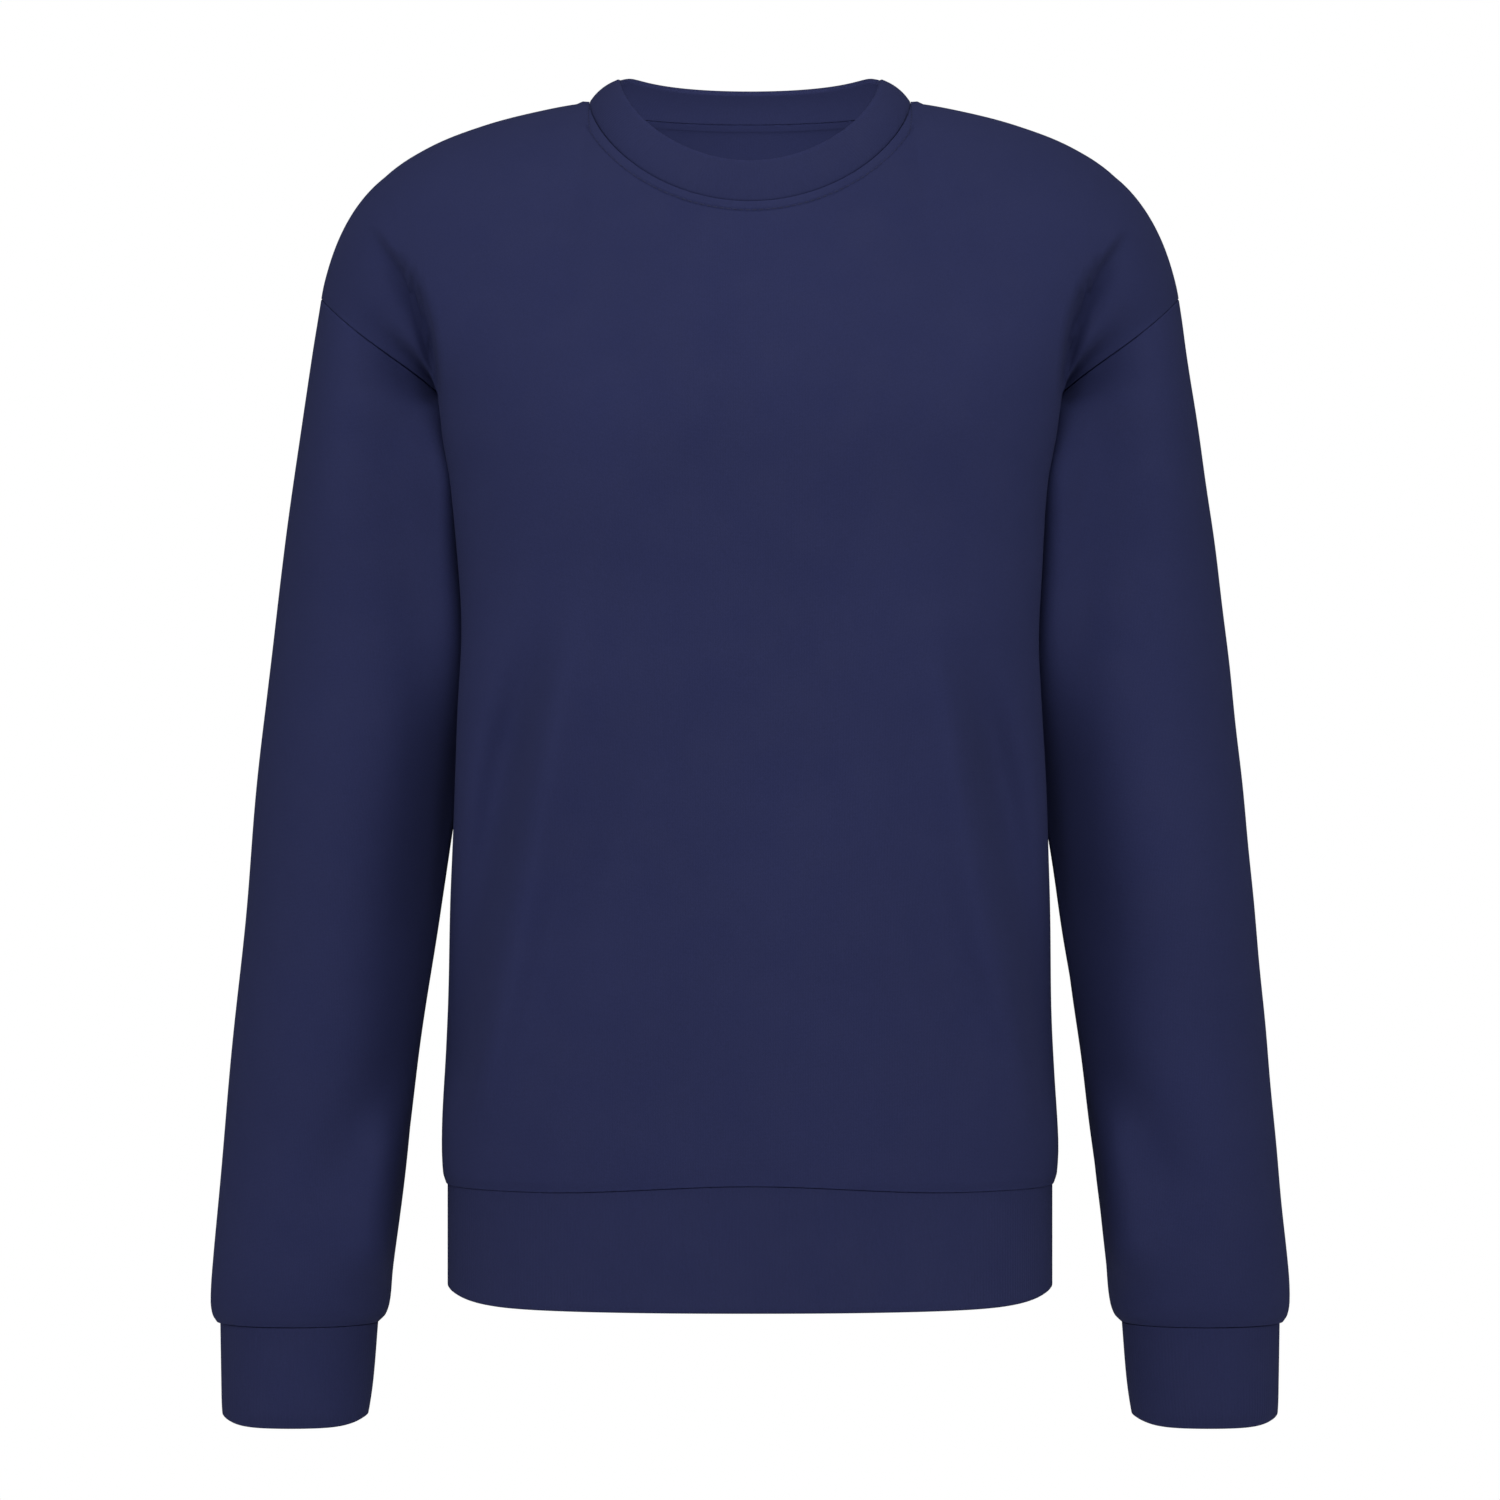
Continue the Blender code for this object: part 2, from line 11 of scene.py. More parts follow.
import bpy
import numpy as np
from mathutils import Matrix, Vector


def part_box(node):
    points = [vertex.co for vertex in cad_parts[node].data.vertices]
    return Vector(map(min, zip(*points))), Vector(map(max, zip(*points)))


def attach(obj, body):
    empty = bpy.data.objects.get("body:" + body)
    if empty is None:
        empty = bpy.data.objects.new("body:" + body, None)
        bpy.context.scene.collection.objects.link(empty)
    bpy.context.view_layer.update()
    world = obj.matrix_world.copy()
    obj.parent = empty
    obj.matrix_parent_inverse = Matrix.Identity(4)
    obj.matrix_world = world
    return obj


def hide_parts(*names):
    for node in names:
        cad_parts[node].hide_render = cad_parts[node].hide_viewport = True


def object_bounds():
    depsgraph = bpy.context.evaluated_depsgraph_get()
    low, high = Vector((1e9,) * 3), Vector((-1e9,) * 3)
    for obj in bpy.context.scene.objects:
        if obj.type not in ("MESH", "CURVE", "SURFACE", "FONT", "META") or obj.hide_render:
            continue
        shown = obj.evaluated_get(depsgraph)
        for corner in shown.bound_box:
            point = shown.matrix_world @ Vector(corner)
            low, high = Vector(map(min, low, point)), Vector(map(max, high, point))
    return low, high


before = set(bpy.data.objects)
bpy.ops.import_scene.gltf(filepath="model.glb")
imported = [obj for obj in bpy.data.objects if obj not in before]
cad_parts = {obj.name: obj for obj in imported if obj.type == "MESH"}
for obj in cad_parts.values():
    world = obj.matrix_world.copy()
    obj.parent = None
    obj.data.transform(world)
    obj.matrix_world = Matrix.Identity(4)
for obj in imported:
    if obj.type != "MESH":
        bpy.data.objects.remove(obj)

CAD_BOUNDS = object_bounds()

# ------------ cloth and seams
CLOTH = 0.0020  # jersey of the body and the sleeves
RIB = 0.0030  # rib bands, folded double
SEAM_GAP = 0.0001  # between a seam and the edge of a band that is sewn to it

# The radius with which cloth turns down into each kind of seam.
NECK_ROLL = 0.0010
ARMHOLE_ROLL = 0.0008  # armholes and side seams
SHOULDER_ROLL = 0.0007
HEM_ROLL = 0.0003
CUFF_ROLL = 0.0002

# Distances from a seam at which a panel has a row of points, so that the seam's roll is round.
SEAM_STEPS = np.array((0.0, 0.0001, 0.0003, 0.0006, 0.0010, 0.0018, 0.0030, 0.0044, 0.0051, 0.0057,
                       0.0063, 0.0070, 0.0080, 0.0095, 0.0115))

# The neckline's topstitching, by distance from the collar seam.
STRIP_WIDTH = 0.0060  # seam allowance held down under the panel
STRIP_RISE = 0.0011
STRIP_STEP = 0.0009  # over which it falls back to the panel
STRIP_END = 0.0040  # over which it comes up from the shoulder seams
STITCH_LINE = 0.0057
STITCH_LENGTH = 0.0030
STITCH_PITCH = 0.0036
STITCH_SINK = 0.0006  # how deep the stitches pull the cloth in
STITCH_GROOVE = 0.0006  # how far to each side they do so
STITCH_MARGIN = 0.0050  # from the shoulder seams
THREAD = 0.00030  # half its width

# Gentle random swells in the panels.
SWELL = 0.0004
SWELL_SIZE = 0.09
SWELL_RANGE = (0.7, 1.6)  # of their waves' lengths, in shares of that
SWELL_WAVES = 9
SWELL_FADE = 0.03  # over which they come up from the seams
HALF_GIRTH = 0.15  # of a sleeve

# ------------ the knits
WALE = 0.0009  # width of a column of loops
COURSE = 0.0007  # height of a loop
LOOP_SLANT = 0.6  # of the legs of its V, in loop heights
RIB_PITCH = 0.0018
JERSEY_DEPTH = 0.00016  # of the relief of the loops
RIB_DEPTH = 0.00012
RIB_RELIEF = 0.8  # shares of the ribs and of the loops in a rib's relief
RIB_LOOPS = 0.4
BUMP_STRENGTH = 0.35
WEAR_WIDTH = 0.0015  # how far in from an edge the cloth is rubbed
WEAR_TONE = 0.16  # how much paler it is there, and how much rougher
WEAR_ROUGHNESS = 0.05
NAVY = (0.0188, 0.0233, 0.0772)
RIB_NAVY = (0.0184, 0.0226, 0.0740)
THREAD_NAVY = (0.0150, 0.0185, 0.0610)
KNIT_SHINE = {
    "Specular IOR Level": 0.15,
    "Sheen Weight": 0.04,
    "Sheen Roughness": 0.5,
    "Sheen Tint": (0.30, 0.35, 0.80, 1.0),
}
THREAD_SHINE = {"Specular IOR Level": 0.25, "Roughness": 0.6}

# Noises over the cloth: their fineness, their detail, and the low and high value that they give.
Noise = namedtuple("Noise", "scale detail low high")
CLOUDS = Noise(11.0, 2.0, 0.965, 1.035)
MOTTLE = Noise(1400.0, 1.0, 0.93, 1.07)
RUBBING = Noise(260.0, 2.0, 0.0, 1.0)
PATCHES = Noise(40.0, 2.0, 0.80, 0.90)
TWIST = Noise(1800.0, 1.0, 0.85, 1.15)
NOISE_MIDDLE = (0.3, 0.7)  # the part of a noise that is spread from low to high
FLUFF_SCALE = 2500.0
FLUFF = 0.5  # its height, as a share of the loops'


def table(columns, *rows):
    """A table with named columns."""
    kind = namedtuple("Row", columns)
    return [kind(*row) for row in rows]


# ------------ neck and shoulders
NECK_HALF_WIDTH = 0.090
NECK_POINTEDNESS = 1.20

# The collar, by the way it faces: from the front (-1) over the shoulder (0) to the back (+1). "lean"
# is in degrees from upright, towards the middle.
COLLAR_SHAPE = table(
    "facing height lean",
    (-1.0, 0.0250, 23),
    (-0.5, 0.0220, 40),
    (+0.0, 0.0215, 50),
    (+0.5, 0.0270, 49),
    (+1.0, 0.0250, 53),
)
COLLAR_EVENING = 16  # how often its direction is evened out along the seam
RIM_EVENING = 30  # the same for the line of its rim
COLLAR_BOW = 0.0018  # how far it bulges outwards, halfway up

# The shoulder seam, from inside the collar to the dropped shoulder point.
SHOULDER_LINE = table(
    "half_width height",
    (0.050, +0.0010),
    (0.090, -0.0002),
    (0.120, -0.0053),
    (0.150, -0.0132),
    (0.180, -0.0252),
    (0.205, -0.0422),
    (0.222, -0.0650),
    (0.234, -0.0895),
    (0.2406, -0.1104),
)

# ------------ armhole
SHOULDER_POINT = np.array((SHOULDER_LINE[-1].half_width, 0.0, SHOULDER_LINE[-1].height))
UNDERARM = np.array((0.150, 0.0, -0.215))
UNDERARM_HEIGHT = UNDERARM[2]
ARMHOLE_DEPTH = 0.067  # how far the loop swells forward and back
ARMHOLE_SCOOP = 0.0155  # how far it is cut in towards the chest
SCOOP_SKEW = 1.8
ARMHOLE_SINK = 0.010  # how far the loop draws back behind the chest's fold
SINK_ALONG = 0.46  # where on the loop it does so, and over what share
SINK_SPREAD = 0.17
SLEEVE_FALL = np.array((0.15, 0.0, -0.985))  # the way that the sleeve hangs from the shoulder point
SLEEVE_SWING = (0.80, 0.15)  # how far it turns outwards and forwards from that
LEAST_ACROSS = 0.2  # shorter than this, the way across the armhole seam is SLEEVE_FALL

# ------------ hem
HEM_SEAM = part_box("front")[0][2]
HEM_LIFT = 0.0045  # how far the hem seam rises at the centre of the front
HEM_LIFT_REACH = 0.118
HEM_LIFT_FADE = 0.080
HEM_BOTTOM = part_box("hem_band")[0][2]
HEM_INSET = 0.0008
HEM_BAND_LIFT = 0.0070  # how far its lower edge rises at the sides
HEM_BAND_CORNER = 12  # exponent of that rise

# A face is the front or the back. Depths are at the chest, on the centre line. "bulge" is a share
# of the bulge depths below. "round" gives the exponents of the rounding over the shoulder.
Face = namedtuple("Face", "name sign chest neck_drop nape_rise hem_lift bulge round_top round_side")
FRONT = Face("front", -1, 0.131, 0.0645, 0.000, HEM_LIFT, 1.00, 2.2, 2.0)
BACK = Face("back", +1, 0.115, 0.0030, 0.013, 0.0, 0.97, 3.0, 2.5)
NAPE_ROUNDING = 1.5  # exponent of the rise at the back of the neck
TUCK_TURN = 0.08  # how far the tucked cloth turns outwards again where it meets the side seam
BULGE_PULL = 0.35  # how firmly a sharp tuck leaves along the face, and arrives at the seam
SEAM_PULL = 2.0
LEAVING = 0.4  # stations before the bulge line from which the face's run is taken
CHEST_DROP = 0.205  # how far below the shoulder line a face is deepest
CHEST_CENTRE = -0.205  # height of the lowest yoke row, on the centre line
BOW_FADE = 0.1  # how far below the underarm the rows still bow up with it
SIDE_ROUNDING = 2.5  # exponent of the rounding across a face

# The body from the hem seam to the shoulder. "bulge" is where a face turns round to the side: its
# half width, and its depth at full size. "side" is the side seam, which the arm presses in. "depth"
# is a share of the face's chest depth, and "tuck" is how sharply the cloth folds in behind the bulge.
LEVELS = table(
    "height bulge_width bulge_depth side_width depth tuck",
    (-0.6035, 0.1690, 0.026, 0.1690, 0.940, 0.0),
    (-0.5975, 0.1707, 0.027, 0.1707, 0.950, 0.0),
    (-0.5800, 0.1713, 0.028, 0.1713, 0.958, 0.0),
    (-0.5000, 0.1678, 0.032, 0.1678, 0.975, 0.0),
    (-0.4320, 0.1652, 0.042, 0.1630, 0.990, 0.2),
    (-0.3900, 0.1636, 0.050, 0.1560, 0.997, 0.6),
    (-0.3400, 0.1610, 0.056, 0.1480, 1.000, 1.0),
    (-0.3000, 0.1592, 0.060, 0.1440, 1.000, 1.0),
    (-0.2580, 0.1612, 0.063, 0.1440, 1.000, 1.0),
    (-0.2150, 0.1645, 0.067, 0.1500, 1.000, 1.0),
    (-0.1920, 0.1685, 0.071, 0.1500, 1.000, 0.9),
    (-0.1670, 0.1720, 0.074, 0.1500, 1.000, 0.6),
    (-0.1400, 0.1860, 0.068, 0.1500, 1.000, 0.2),
    (-0.1150, 0.2050, 0.052, 0.1500, 1.000, 0.0),
    (-0.0870, 0.2280, 0.030, 0.1500, 1.000, 0.0),
    (-0.0450, 0.2500, 0.008, 0.1500, 1.000, 0.0),
    (+0.0100, 0.2620, 0.000, 0.1500, 1.000, 0.0),
)

# Where the bulge line runs beside the armhole, from the underarm (0) to the shoulder (1).
BULGE_LINE = table(
    "along half_width height",
    (0.00, 0.1645, -0.215),
    (0.25, 0.1685, -0.192),
    (0.44, 0.1720, -0.167),
    (0.70, 0.1870, -0.115),
    (1.00, 0.2050, -0.0422),
)

# Level sections of the sleeve below the armpit: the outer and inner line, half the depth, and how
# far the middle lies in front of the side seams.
SECTION = "height outer inner half_depth forward"
SLEEVE_SECTIONS = table(
    SECTION,
    (-0.6830, 0.2984, 0.2078, 0.0370, 0.010),
    (-0.6790, 0.3008, 0.2040, 0.0392, 0.010),
    (-0.6710, 0.3019, 0.2014, 0.0422, 0.010),
    (-0.6500, 0.3006, 0.1992, 0.0458, 0.010),
    (-0.6000, 0.2962, 0.1934, 0.050, 0.009),
    (-0.5330, 0.2900, 0.1856, 0.054, 0.008),
    (-0.4660, 0.2840, 0.1755, 0.059, 0.006),
    (-0.4000, 0.2780, 0.1655, 0.063, 0.003),
    (-0.3300, 0.2706, 0.1535, 0.066, 0.000),
)
CAP_END = SLEEVE_SECTIONS[-1].height
SLEEVE_END = SLEEVE_SECTIONS[0].height

CUFF_SECTIONS = table(
    SECTION,
    (-0.7383, 0.2944, 0.2150, 0.0320, 0.010),
    (-0.7330, 0.2955, 0.2134, 0.0340, 0.010),
    (-0.7150, 0.2960, 0.2108, 0.0352, 0.010),
    (-0.6833, 0.2965, 0.2082, 0.0364, 0.010),
)
CUFF_TOP, CUFF_BOTTOM = CUFF_SECTIONS[-1].height, CUFF_SECTIONS[0].height
CUFF_LIFT = 0.0045  # how far its lower edge rises at its outer and inner lines
CUFF_CORNER = 6  # exponent of that rise

# ------------ fineness
NECK_CELLS = 6  # stations from the centre to the neck point
SHOULDER_CELLS = 4  # from the neck point to the bulge line
TUCK_CELLS = 3  # from the bulge line to the side seam or the armhole
BULGE_STATION = NECK_CELLS + SHOULDER_CELLS
EDGE_STATION = BULGE_STATION + TUCK_CELLS
YOKE_CROWDING = 2.0
COLUMNS_PER_STATION = 8
TUCK_COLUMNS = 30
FACE_ROWS = 136  # between the hem's and the neckline's seam steps
ROW_CROWDING = 0.45  # how much closer together they lie at the top
SLEEVE_ROWS = 120
SLEEVE_COLUMNS = 112
CUFF_COLUMNS = 96
BAND_ROWS = 16  # beyond the seam steps of a cuff or the hem band
BAND_START = 0.012  # where the hem band's begin
COLLAR_ROWS = 12
FOLD_STEPS = 9  # round the fold of a band
SAMPLES = 600  # along a line whose length is measured
TUCK_SAMPLES = 121  # the same across a tuck
LINE_POINTS = 60  # along a crease
STITCH_ROWS = 23  # from the neckline, among which the stitch line is sought
STITCH_SIDES = 8  # round a stitch
STITCH_RINGS = 5  # along it
SHARP_EDGE = 60  # degrees
STEP = 0.01  # along a seam or down a sleeve, where its direction is measured
TINY = 1e-12

# ------------ small tools
def mix(a, b, share):
    return a * (1.0 - share) + b * share


def clipped(share):
    return np.clip(share, 0.0, 1.0)


def ease(share):
    """Goes from 0 to 1 with a level start and end."""
    share = clipped(share)
    return share * share * (3.0 - 2.0 * share)


def bell(distance):
    return np.exp(-distance ** 2)


def vectors(x, y, z):
    return np.stack(np.broadcast_arrays(x, y, z), axis=-1).astype(float)


def unit(vector):
    return vector / np.maximum(np.linalg.norm(vector, axis=-1, keepdims=True), TINY)


def mirrored(points):
    return points * (-1.0, 1.0, 1.0)


def looped(line):
    return np.concatenate([line, line[:1]])


def hermite(start, end, start_pull, end_pull, share):
    """The cubic curve from start to end that leaves along start_pull and arrives along end_pull."""
    square = share * share
    cube = square * share
    leaving = start * (2 * cube - 3 * square + 1) + start_pull * (cube - 2 * square + share)
    return leaving + end * (3 * square - 2 * cube) + end_pull * (cube - square)


def curve(places, values, at):
    """A smooth curve through values at some places, read at others."""
    rows = np.arange(len(places))
    last = rows[-1]
    high, low = np.minimum(rows + 1, last), np.maximum(rows - 1, 0)
    slopes = (values[high] - values[low]) / (places[high] - places[low])
    at = np.clip(at, places[0], places[-1])
    i = np.clip(np.searchsorted(places, at, side="right") - 1, 0, last - 1)
    width = places[i + 1] - places[i]
    share = (at - places[i]) / width
    return hermite(values[i], values[i + 1], slopes[i] * width, slopes[i + 1] * width, share)


def read(table, column, at):
    """A column of a table at values of its first column, on a smooth curve through the rows."""
    places = np.array([row[0] for row in table])
    return curve(places, np.array([getattr(row, column) for row in table]), at)


def lengths_along(points):
    """The length walked to each point of a line, or of many lines that run along the first axis."""
    steps = np.linalg.norm(np.diff(points, axis=0), axis=-1)
    return np.concatenate([np.zeros_like(steps[:1]), np.cumsum(steps, axis=0)])


def between(at, places, values):
    """Vectors read between those at some places of a line."""
    return np.stack([np.interp(at, places, column) for column in values.T], axis=-1)


def nearest_on(line, points):
    """For each point, its distance from an open line and how many of the line's steps it is along."""
    nearest = np.full(points.shape[:-1], np.inf)
    along = np.zeros(points.shape[:-1])
    for i, step in enumerate(np.diff(line, axis=0)):
        offset = points - line[i]
        share = clipped(offset @ step / max(step @ step, TINY))
        distance = np.linalg.norm(offset - share[..., None] * step, axis=-1)
        along = np.where(distance < nearest, i + share, along)
        nearest = np.minimum(distance, nearest)
    return nearest, along


def distance_to_lines(points, *lines):
    return np.minimum.reduce([nearest_on(line, points)[0] for line in lines])


def grid_normals(points, wraps=False):
    """The normals of a grid of points, on the side where rows turn left of columns."""
    if wraps:
        points = np.concatenate([points[:, -1:], points, points[:, :1]], axis=1)
    across = points[:, 1:] - points[:, :-1]
    upward = points[1:] - points[:-1]
    faces = np.cross(across[:-1] + across[1:], upward[:, :-1] + upward[:, 1:])
    total = np.zeros_like(points)
    total[:-1, :-1] += faces
    total[1:, :-1] += faces
    total[:-1, 1:] += faces
    total[1:, 1:] += faces
    if wraps:
        total = total[:, 1:-1]
    return unit(total)


# ------------ the form of the body
def face_depth(face, x, height):
    """Distance of a face from the plane of the side seams, at half width x and some height."""
    nape = face.nape_rise * np.maximum(0.0, 1.0 - (x / NECK_HALF_WIDTH) ** 2) ** NAPE_ROUNDING
    below = clipped((read(SHOULDER_LINE, "height", x) + nape - height) / CHEST_DROP)
    rounding = (1.0 - (1.0 - below) ** face.round_top) ** (1.0 / face.round_side)
    middle = face.chest * rounding * read(LEVELS, "depth", height)
    bulge = np.minimum(middle, face.bulge * read(LEVELS, "bulge_depth", height))
    sideways = clipped(x / read(LEVELS, "bulge_width", height))
    across = (1.0 - sideways ** SIDE_ROUNDING) ** (1.0 / SIDE_ROUNDING)
    return bulge + (middle - bulge) * across


def neckline(face, share):
    """(half width, height) on a face's neckline, from its centre (0) to the neck point (1)."""
    down = 1.0 - ease(share)
    x = NECK_HALF_WIDTH * np.sqrt(1.0 - down ** 2)
    neck_point = read(SHOULDER_LINE, "height", NECK_HALF_WIDTH)
    return x, neck_point - face.neck_drop * down ** NECK_POINTEDNESS


def armhole(sign, along):
    """Points of the armhole on one face, from the underarm (0) to the shoulder point (1)."""
    rise = ((1.0 - np.cos(along * math.pi)) / 2)[..., None]
    line = SHOULDER_POINT - UNDERARM
    inward = unit(np.array((-line[2], 0.0, line[0])))
    scoop = ARMHOLE_SCOOP * np.sin(math.pi * (1.0 - rise) ** SCOOP_SKEW)
    sink = ARMHOLE_SINK * bell((along - SINK_ALONG) / SINK_SPREAD)
    swell = vectors(0.0, sign * (ARMHOLE_DEPTH - sink) * np.sin(along * math.pi), 0.0)
    return UNDERARM + line * rise + inward * scoop + swell


def yoke_place(face, station, up):
    """(x, height) above the underarm, where the rows spread out to the neck and the shoulder. They
    crowd together at the top, where the cloth turns over to the shoulder seam."""
    share = station / BULGE_STATION
    rise = 1.0 - (1.0 - up) ** mix(YOKE_CROWDING, 1.0, share ** 2)
    first, last = BULGE_LINE[0], BULGE_LINE[-1]
    low_x = first.half_width * np.sin(share * math.pi / 2)
    low_height = mix(CHEST_CENTRE, first.height, share ** 2)
    neck_x, neck_height = neckline(face, clipped(station / NECK_CELLS))
    shoulder_x = mix(NECK_HALF_WIDTH, last.half_width, (station - NECK_CELLS) / SHOULDER_CELLS)
    on_neck = station <= NECK_CELLS
    high_x = np.where(on_neck, neck_x, shoulder_x)
    high_height = np.where(on_neck, neck_height, read(SHOULDER_LINE, "height", shoulder_x))
    swell_x = read(BULGE_LINE, "half_width", up) - mix(first.half_width, last.half_width, up)
    swell_height = read(BULGE_LINE, "height", up) - mix(first.height, last.height, up)
    x = mix(low_x, high_x, rise) + swell_x * share
    return x, mix(low_height, high_height, rise) + swell_height * share


def body_place(face, station, height):
    """(x, height) below the underarm. The rows bow up in the middle, at the chest and at the hem."""
    share = station / BULGE_STATION
    x = read(LEVELS, "bulge_width", height) * np.sin(share * math.pi / 2)
    chest_lift = (CHEST_CENTRE - UNDERARM_HEIGHT) * (1.0 - share ** 2)
    hem_lift = face.hem_lift * (1.0 - ease(x / HEM_LIFT_REACH))
    height = height + chest_lift * (1.0 - ease((UNDERARM_HEIGHT - height) / BOW_FADE))
    height = height + hem_lift * (1.0 - ease((height - HEM_SEAM) / HEM_LIFT_FADE))
    return x, height


def on_face(face, station, up):
    """Points of a face between its centre and its bulge line."""
    yoke_x, yoke_height = yoke_place(face, station, clipped(up - 1.0))
    row = mix(HEM_SEAM, UNDERARM_HEIGHT, clipped(up))
    body_x, body_height = body_place(face, station, row)
    x = np.where(up > 1.0, yoke_x, body_x)
    height = np.where(up > 1.0, yoke_height, body_height)
    return vectors(x, face.sign * face_depth(face, x, height), height)


def down_the_sleeve(face, along):
    """The way across the armhole seam, in the plane of the sleeve's cloth there."""
    seam = unit(armhole(face.sign, along + STEP) - armhole(face.sign, along - STEP))
    across = SLEEVE_FALL - seam * (seam @ SLEEVE_FALL)[..., None]
    long_enough = np.linalg.norm(across, axis=-1, keepdims=True) > LEAST_ACROSS
    return unit(np.where(long_enough, across, SLEEVE_FALL))


def face_point(face, station, up):
    """Points of the left half of a face. station runs from the centre (0) to the side seam or the
    armhole (EDGE_STATION), and up from the hem seam (0) past the underarm (1) to the top (2)."""
    station, up = (np.asarray(a, float) for a in np.broadcast_arrays(station, up))
    bulge = on_face(face, np.full_like(up, BULGE_STATION), up)
    leaving = unit(bulge - on_face(face, np.full_like(up, BULGE_STATION - LEAVING), up))
    on_armhole = (up > 1.0)[..., None]
    tuck = clipped(read(LEVELS, "tuck", bulge[..., 2]))[..., None]
    along = clipped(up - 1.0)
    row = mix(HEM_SEAM, UNDERARM_HEIGHT, clipped(up))
    side = vectors(read(LEVELS, "side_width", row), 0.0, row)
    edge = np.where(on_armhole, armhole(face.sign, along), side)
    turning = np.broadcast_to(np.array((TUCK_TURN, -face.sign, 0.0)), edge.shape)
    arriving = np.where(on_armhole, unit(mix(down_the_sleeve(face, along), turning, tuck)), turning)
    reach = np.linalg.norm(edge - bulge, axis=-1, keepdims=True)
    share = clipped((station - BULGE_STATION) / TUCK_CELLS)[..., None]
    start_pull = leaving * reach * mix(1.0, BULGE_PULL, tuck)
    end_pull = arriving * reach * mix(1.0, SEAM_PULL, tuck)
    tucked = hermite(bulge, edge, start_pull, end_pull, share)
    flat = on_face(face, np.minimum(station, BULGE_STATION), up)
    return np.where((station <= BULGE_STATION)[..., None], flat, tucked)


# ------------ the form of the sleeves
def section_point(sections, around, height):
    """Points of level sections. around runs from the inner line (0), over the front, to the outer
    line (1) and over the back to the inner line (2)."""
    outer, inner = read(sections, "outer", height), read(sections, "inner", height)
    angle = around * math.pi
    x = (outer + inner) / 2 - (outer - inner) / 2 * np.cos(angle)
    y = -read(sections, "forward", height) - read(sections, "half_depth", height) * np.sin(angle)
    return vectors(x, y, height)


def sleeve_point(around, down):
    """Points of the left sleeve. down runs from the armhole (0) past CAP_END (1) to the cuff (2)."""
    around, down = (np.asarray(a, float) for a in np.broadcast_arrays(around, down))
    around = around % 2.0
    low = mix(CAP_END, SLEEVE_END, clipped(down - 1.0))
    below = section_point(SLEEVE_SECTIONS, around, low)
    along = np.where(around <= 1.0, around, 2.0 - around)
    start = armhole(np.where(around <= 1.0, -1.0, 1.0), along)
    end = section_point(SLEEVE_SECTIONS, around, np.full_like(around, CAP_END))
    onward = section_point(SLEEVE_SECTIONS, around, np.full_like(around, CAP_END - STEP)) - end
    side = np.sin(around * math.pi)
    swing = vectors(SLEEVE_SWING[0] * np.abs(side) * (1.0 - along), -SLEEVE_SWING[1] * side, 0.0)
    reach = np.linalg.norm(end - start, axis=-1, keepdims=True)
    share = clipped(down)[..., None]
    cap = hermite(start, end, unit(SLEEVE_FALL + swing) * reach, unit(onward) * reach, share)
    return np.where((down >= 1.0)[..., None], below, cap)


# ------------ creases
# A crease is a soft ridge, or a trough where "rise" is negative, along a smooth line through a few
# places (x, height), as seen from the front. "left" and "right" are its half widths on the two sides
# of the line as it is walked. It comes up over the share "rises" of its length and goes down again
# over the share "falls".
Crease = namedtuple("Crease", "rise left right rises falls line")


def both_sides(*creases):
    """Creases of the wearer's left, walked downwards, and the same on the right."""
    return creases + tuple(
        crease._replace(left=crease.right, right=crease.left, line=[(-x, z) for x, z in crease.line])
        for crease in creases
    )


# The chest's cloth hangs over the front of the arm in one deep fold that runs into the armpit. It is
# one trough, steep on the chest's side. The parts of its depth differ in how far they slope up on the
# arm's side, and the fourth is in its lower part alone. A low ridge runs along the chest's side.
ARM_FOLD_LINE = ((0.2135, -0.071), (0.2035, -0.0855), (0.1932, -0.099), (0.1833, -0.1137),
                 (0.1772, -0.1301), (0.1738, -0.1492), (0.1724, -0.162), (0.1718, -0.175))
ARM_FOLD = both_sides(
    Crease(-0.006, 0.007, 0.0022, 0.55, 0.2, ARM_FOLD_LINE),
    Crease(-0.008, 0.015, 0.0022, 0.5, 0.2, ARM_FOLD_LINE),
    Crease(-0.012, 0.036, 0.0022, 0.5, 0.2, ARM_FOLD_LINE),
    Crease(-0.008, 0.007, 0.0022, 0.6, 0.15, ARM_FOLD_LINE[3:]),
    Crease(+0.0016, 0.004, 0.022, 0.6, 0.3, (
        (0.208, -0.072), (0.192, -0.094), (0.181, -0.113), (0.1745, -0.13), (0.171, -0.146),
        (0.169, -0.166), (0.168, -0.186))),
)
# Below that fold the sleeve swells out again beside the body, and then a hollow runs down its inner
# side. Above the cuff a long slack fold crosses it, and the cloth puffs out on its inner side.
SLEEVE_CREASES = both_sides(
    Crease(+0.024, 0.017, 0.03, 0.27, 0.45, (
        (0.179, -0.166), (0.171, -0.19), (0.165, -0.218), (0.162, -0.25), (0.159, -0.31),
        (0.16, -0.38))),
    Crease(-0.013, 0.026, 0.02, 0.45, 0.4, (
        (0.164, -0.3), (0.166, -0.36), (0.171, -0.42), (0.18, -0.48), (0.19, -0.545))),
    Crease(-0.0045, 0.016, 0.016, 0.4, 0.35, (
        (0.184, -0.48), (0.196, -0.535), (0.214, -0.57), (0.227, -0.595), (0.238, -0.635))),
    Crease(+0.017, 0.02, 0.026, 0.4, 0.25, (
        (0.187, -0.54), (0.194, -0.58), (0.2, -0.625), (0.206, -0.67))),
)
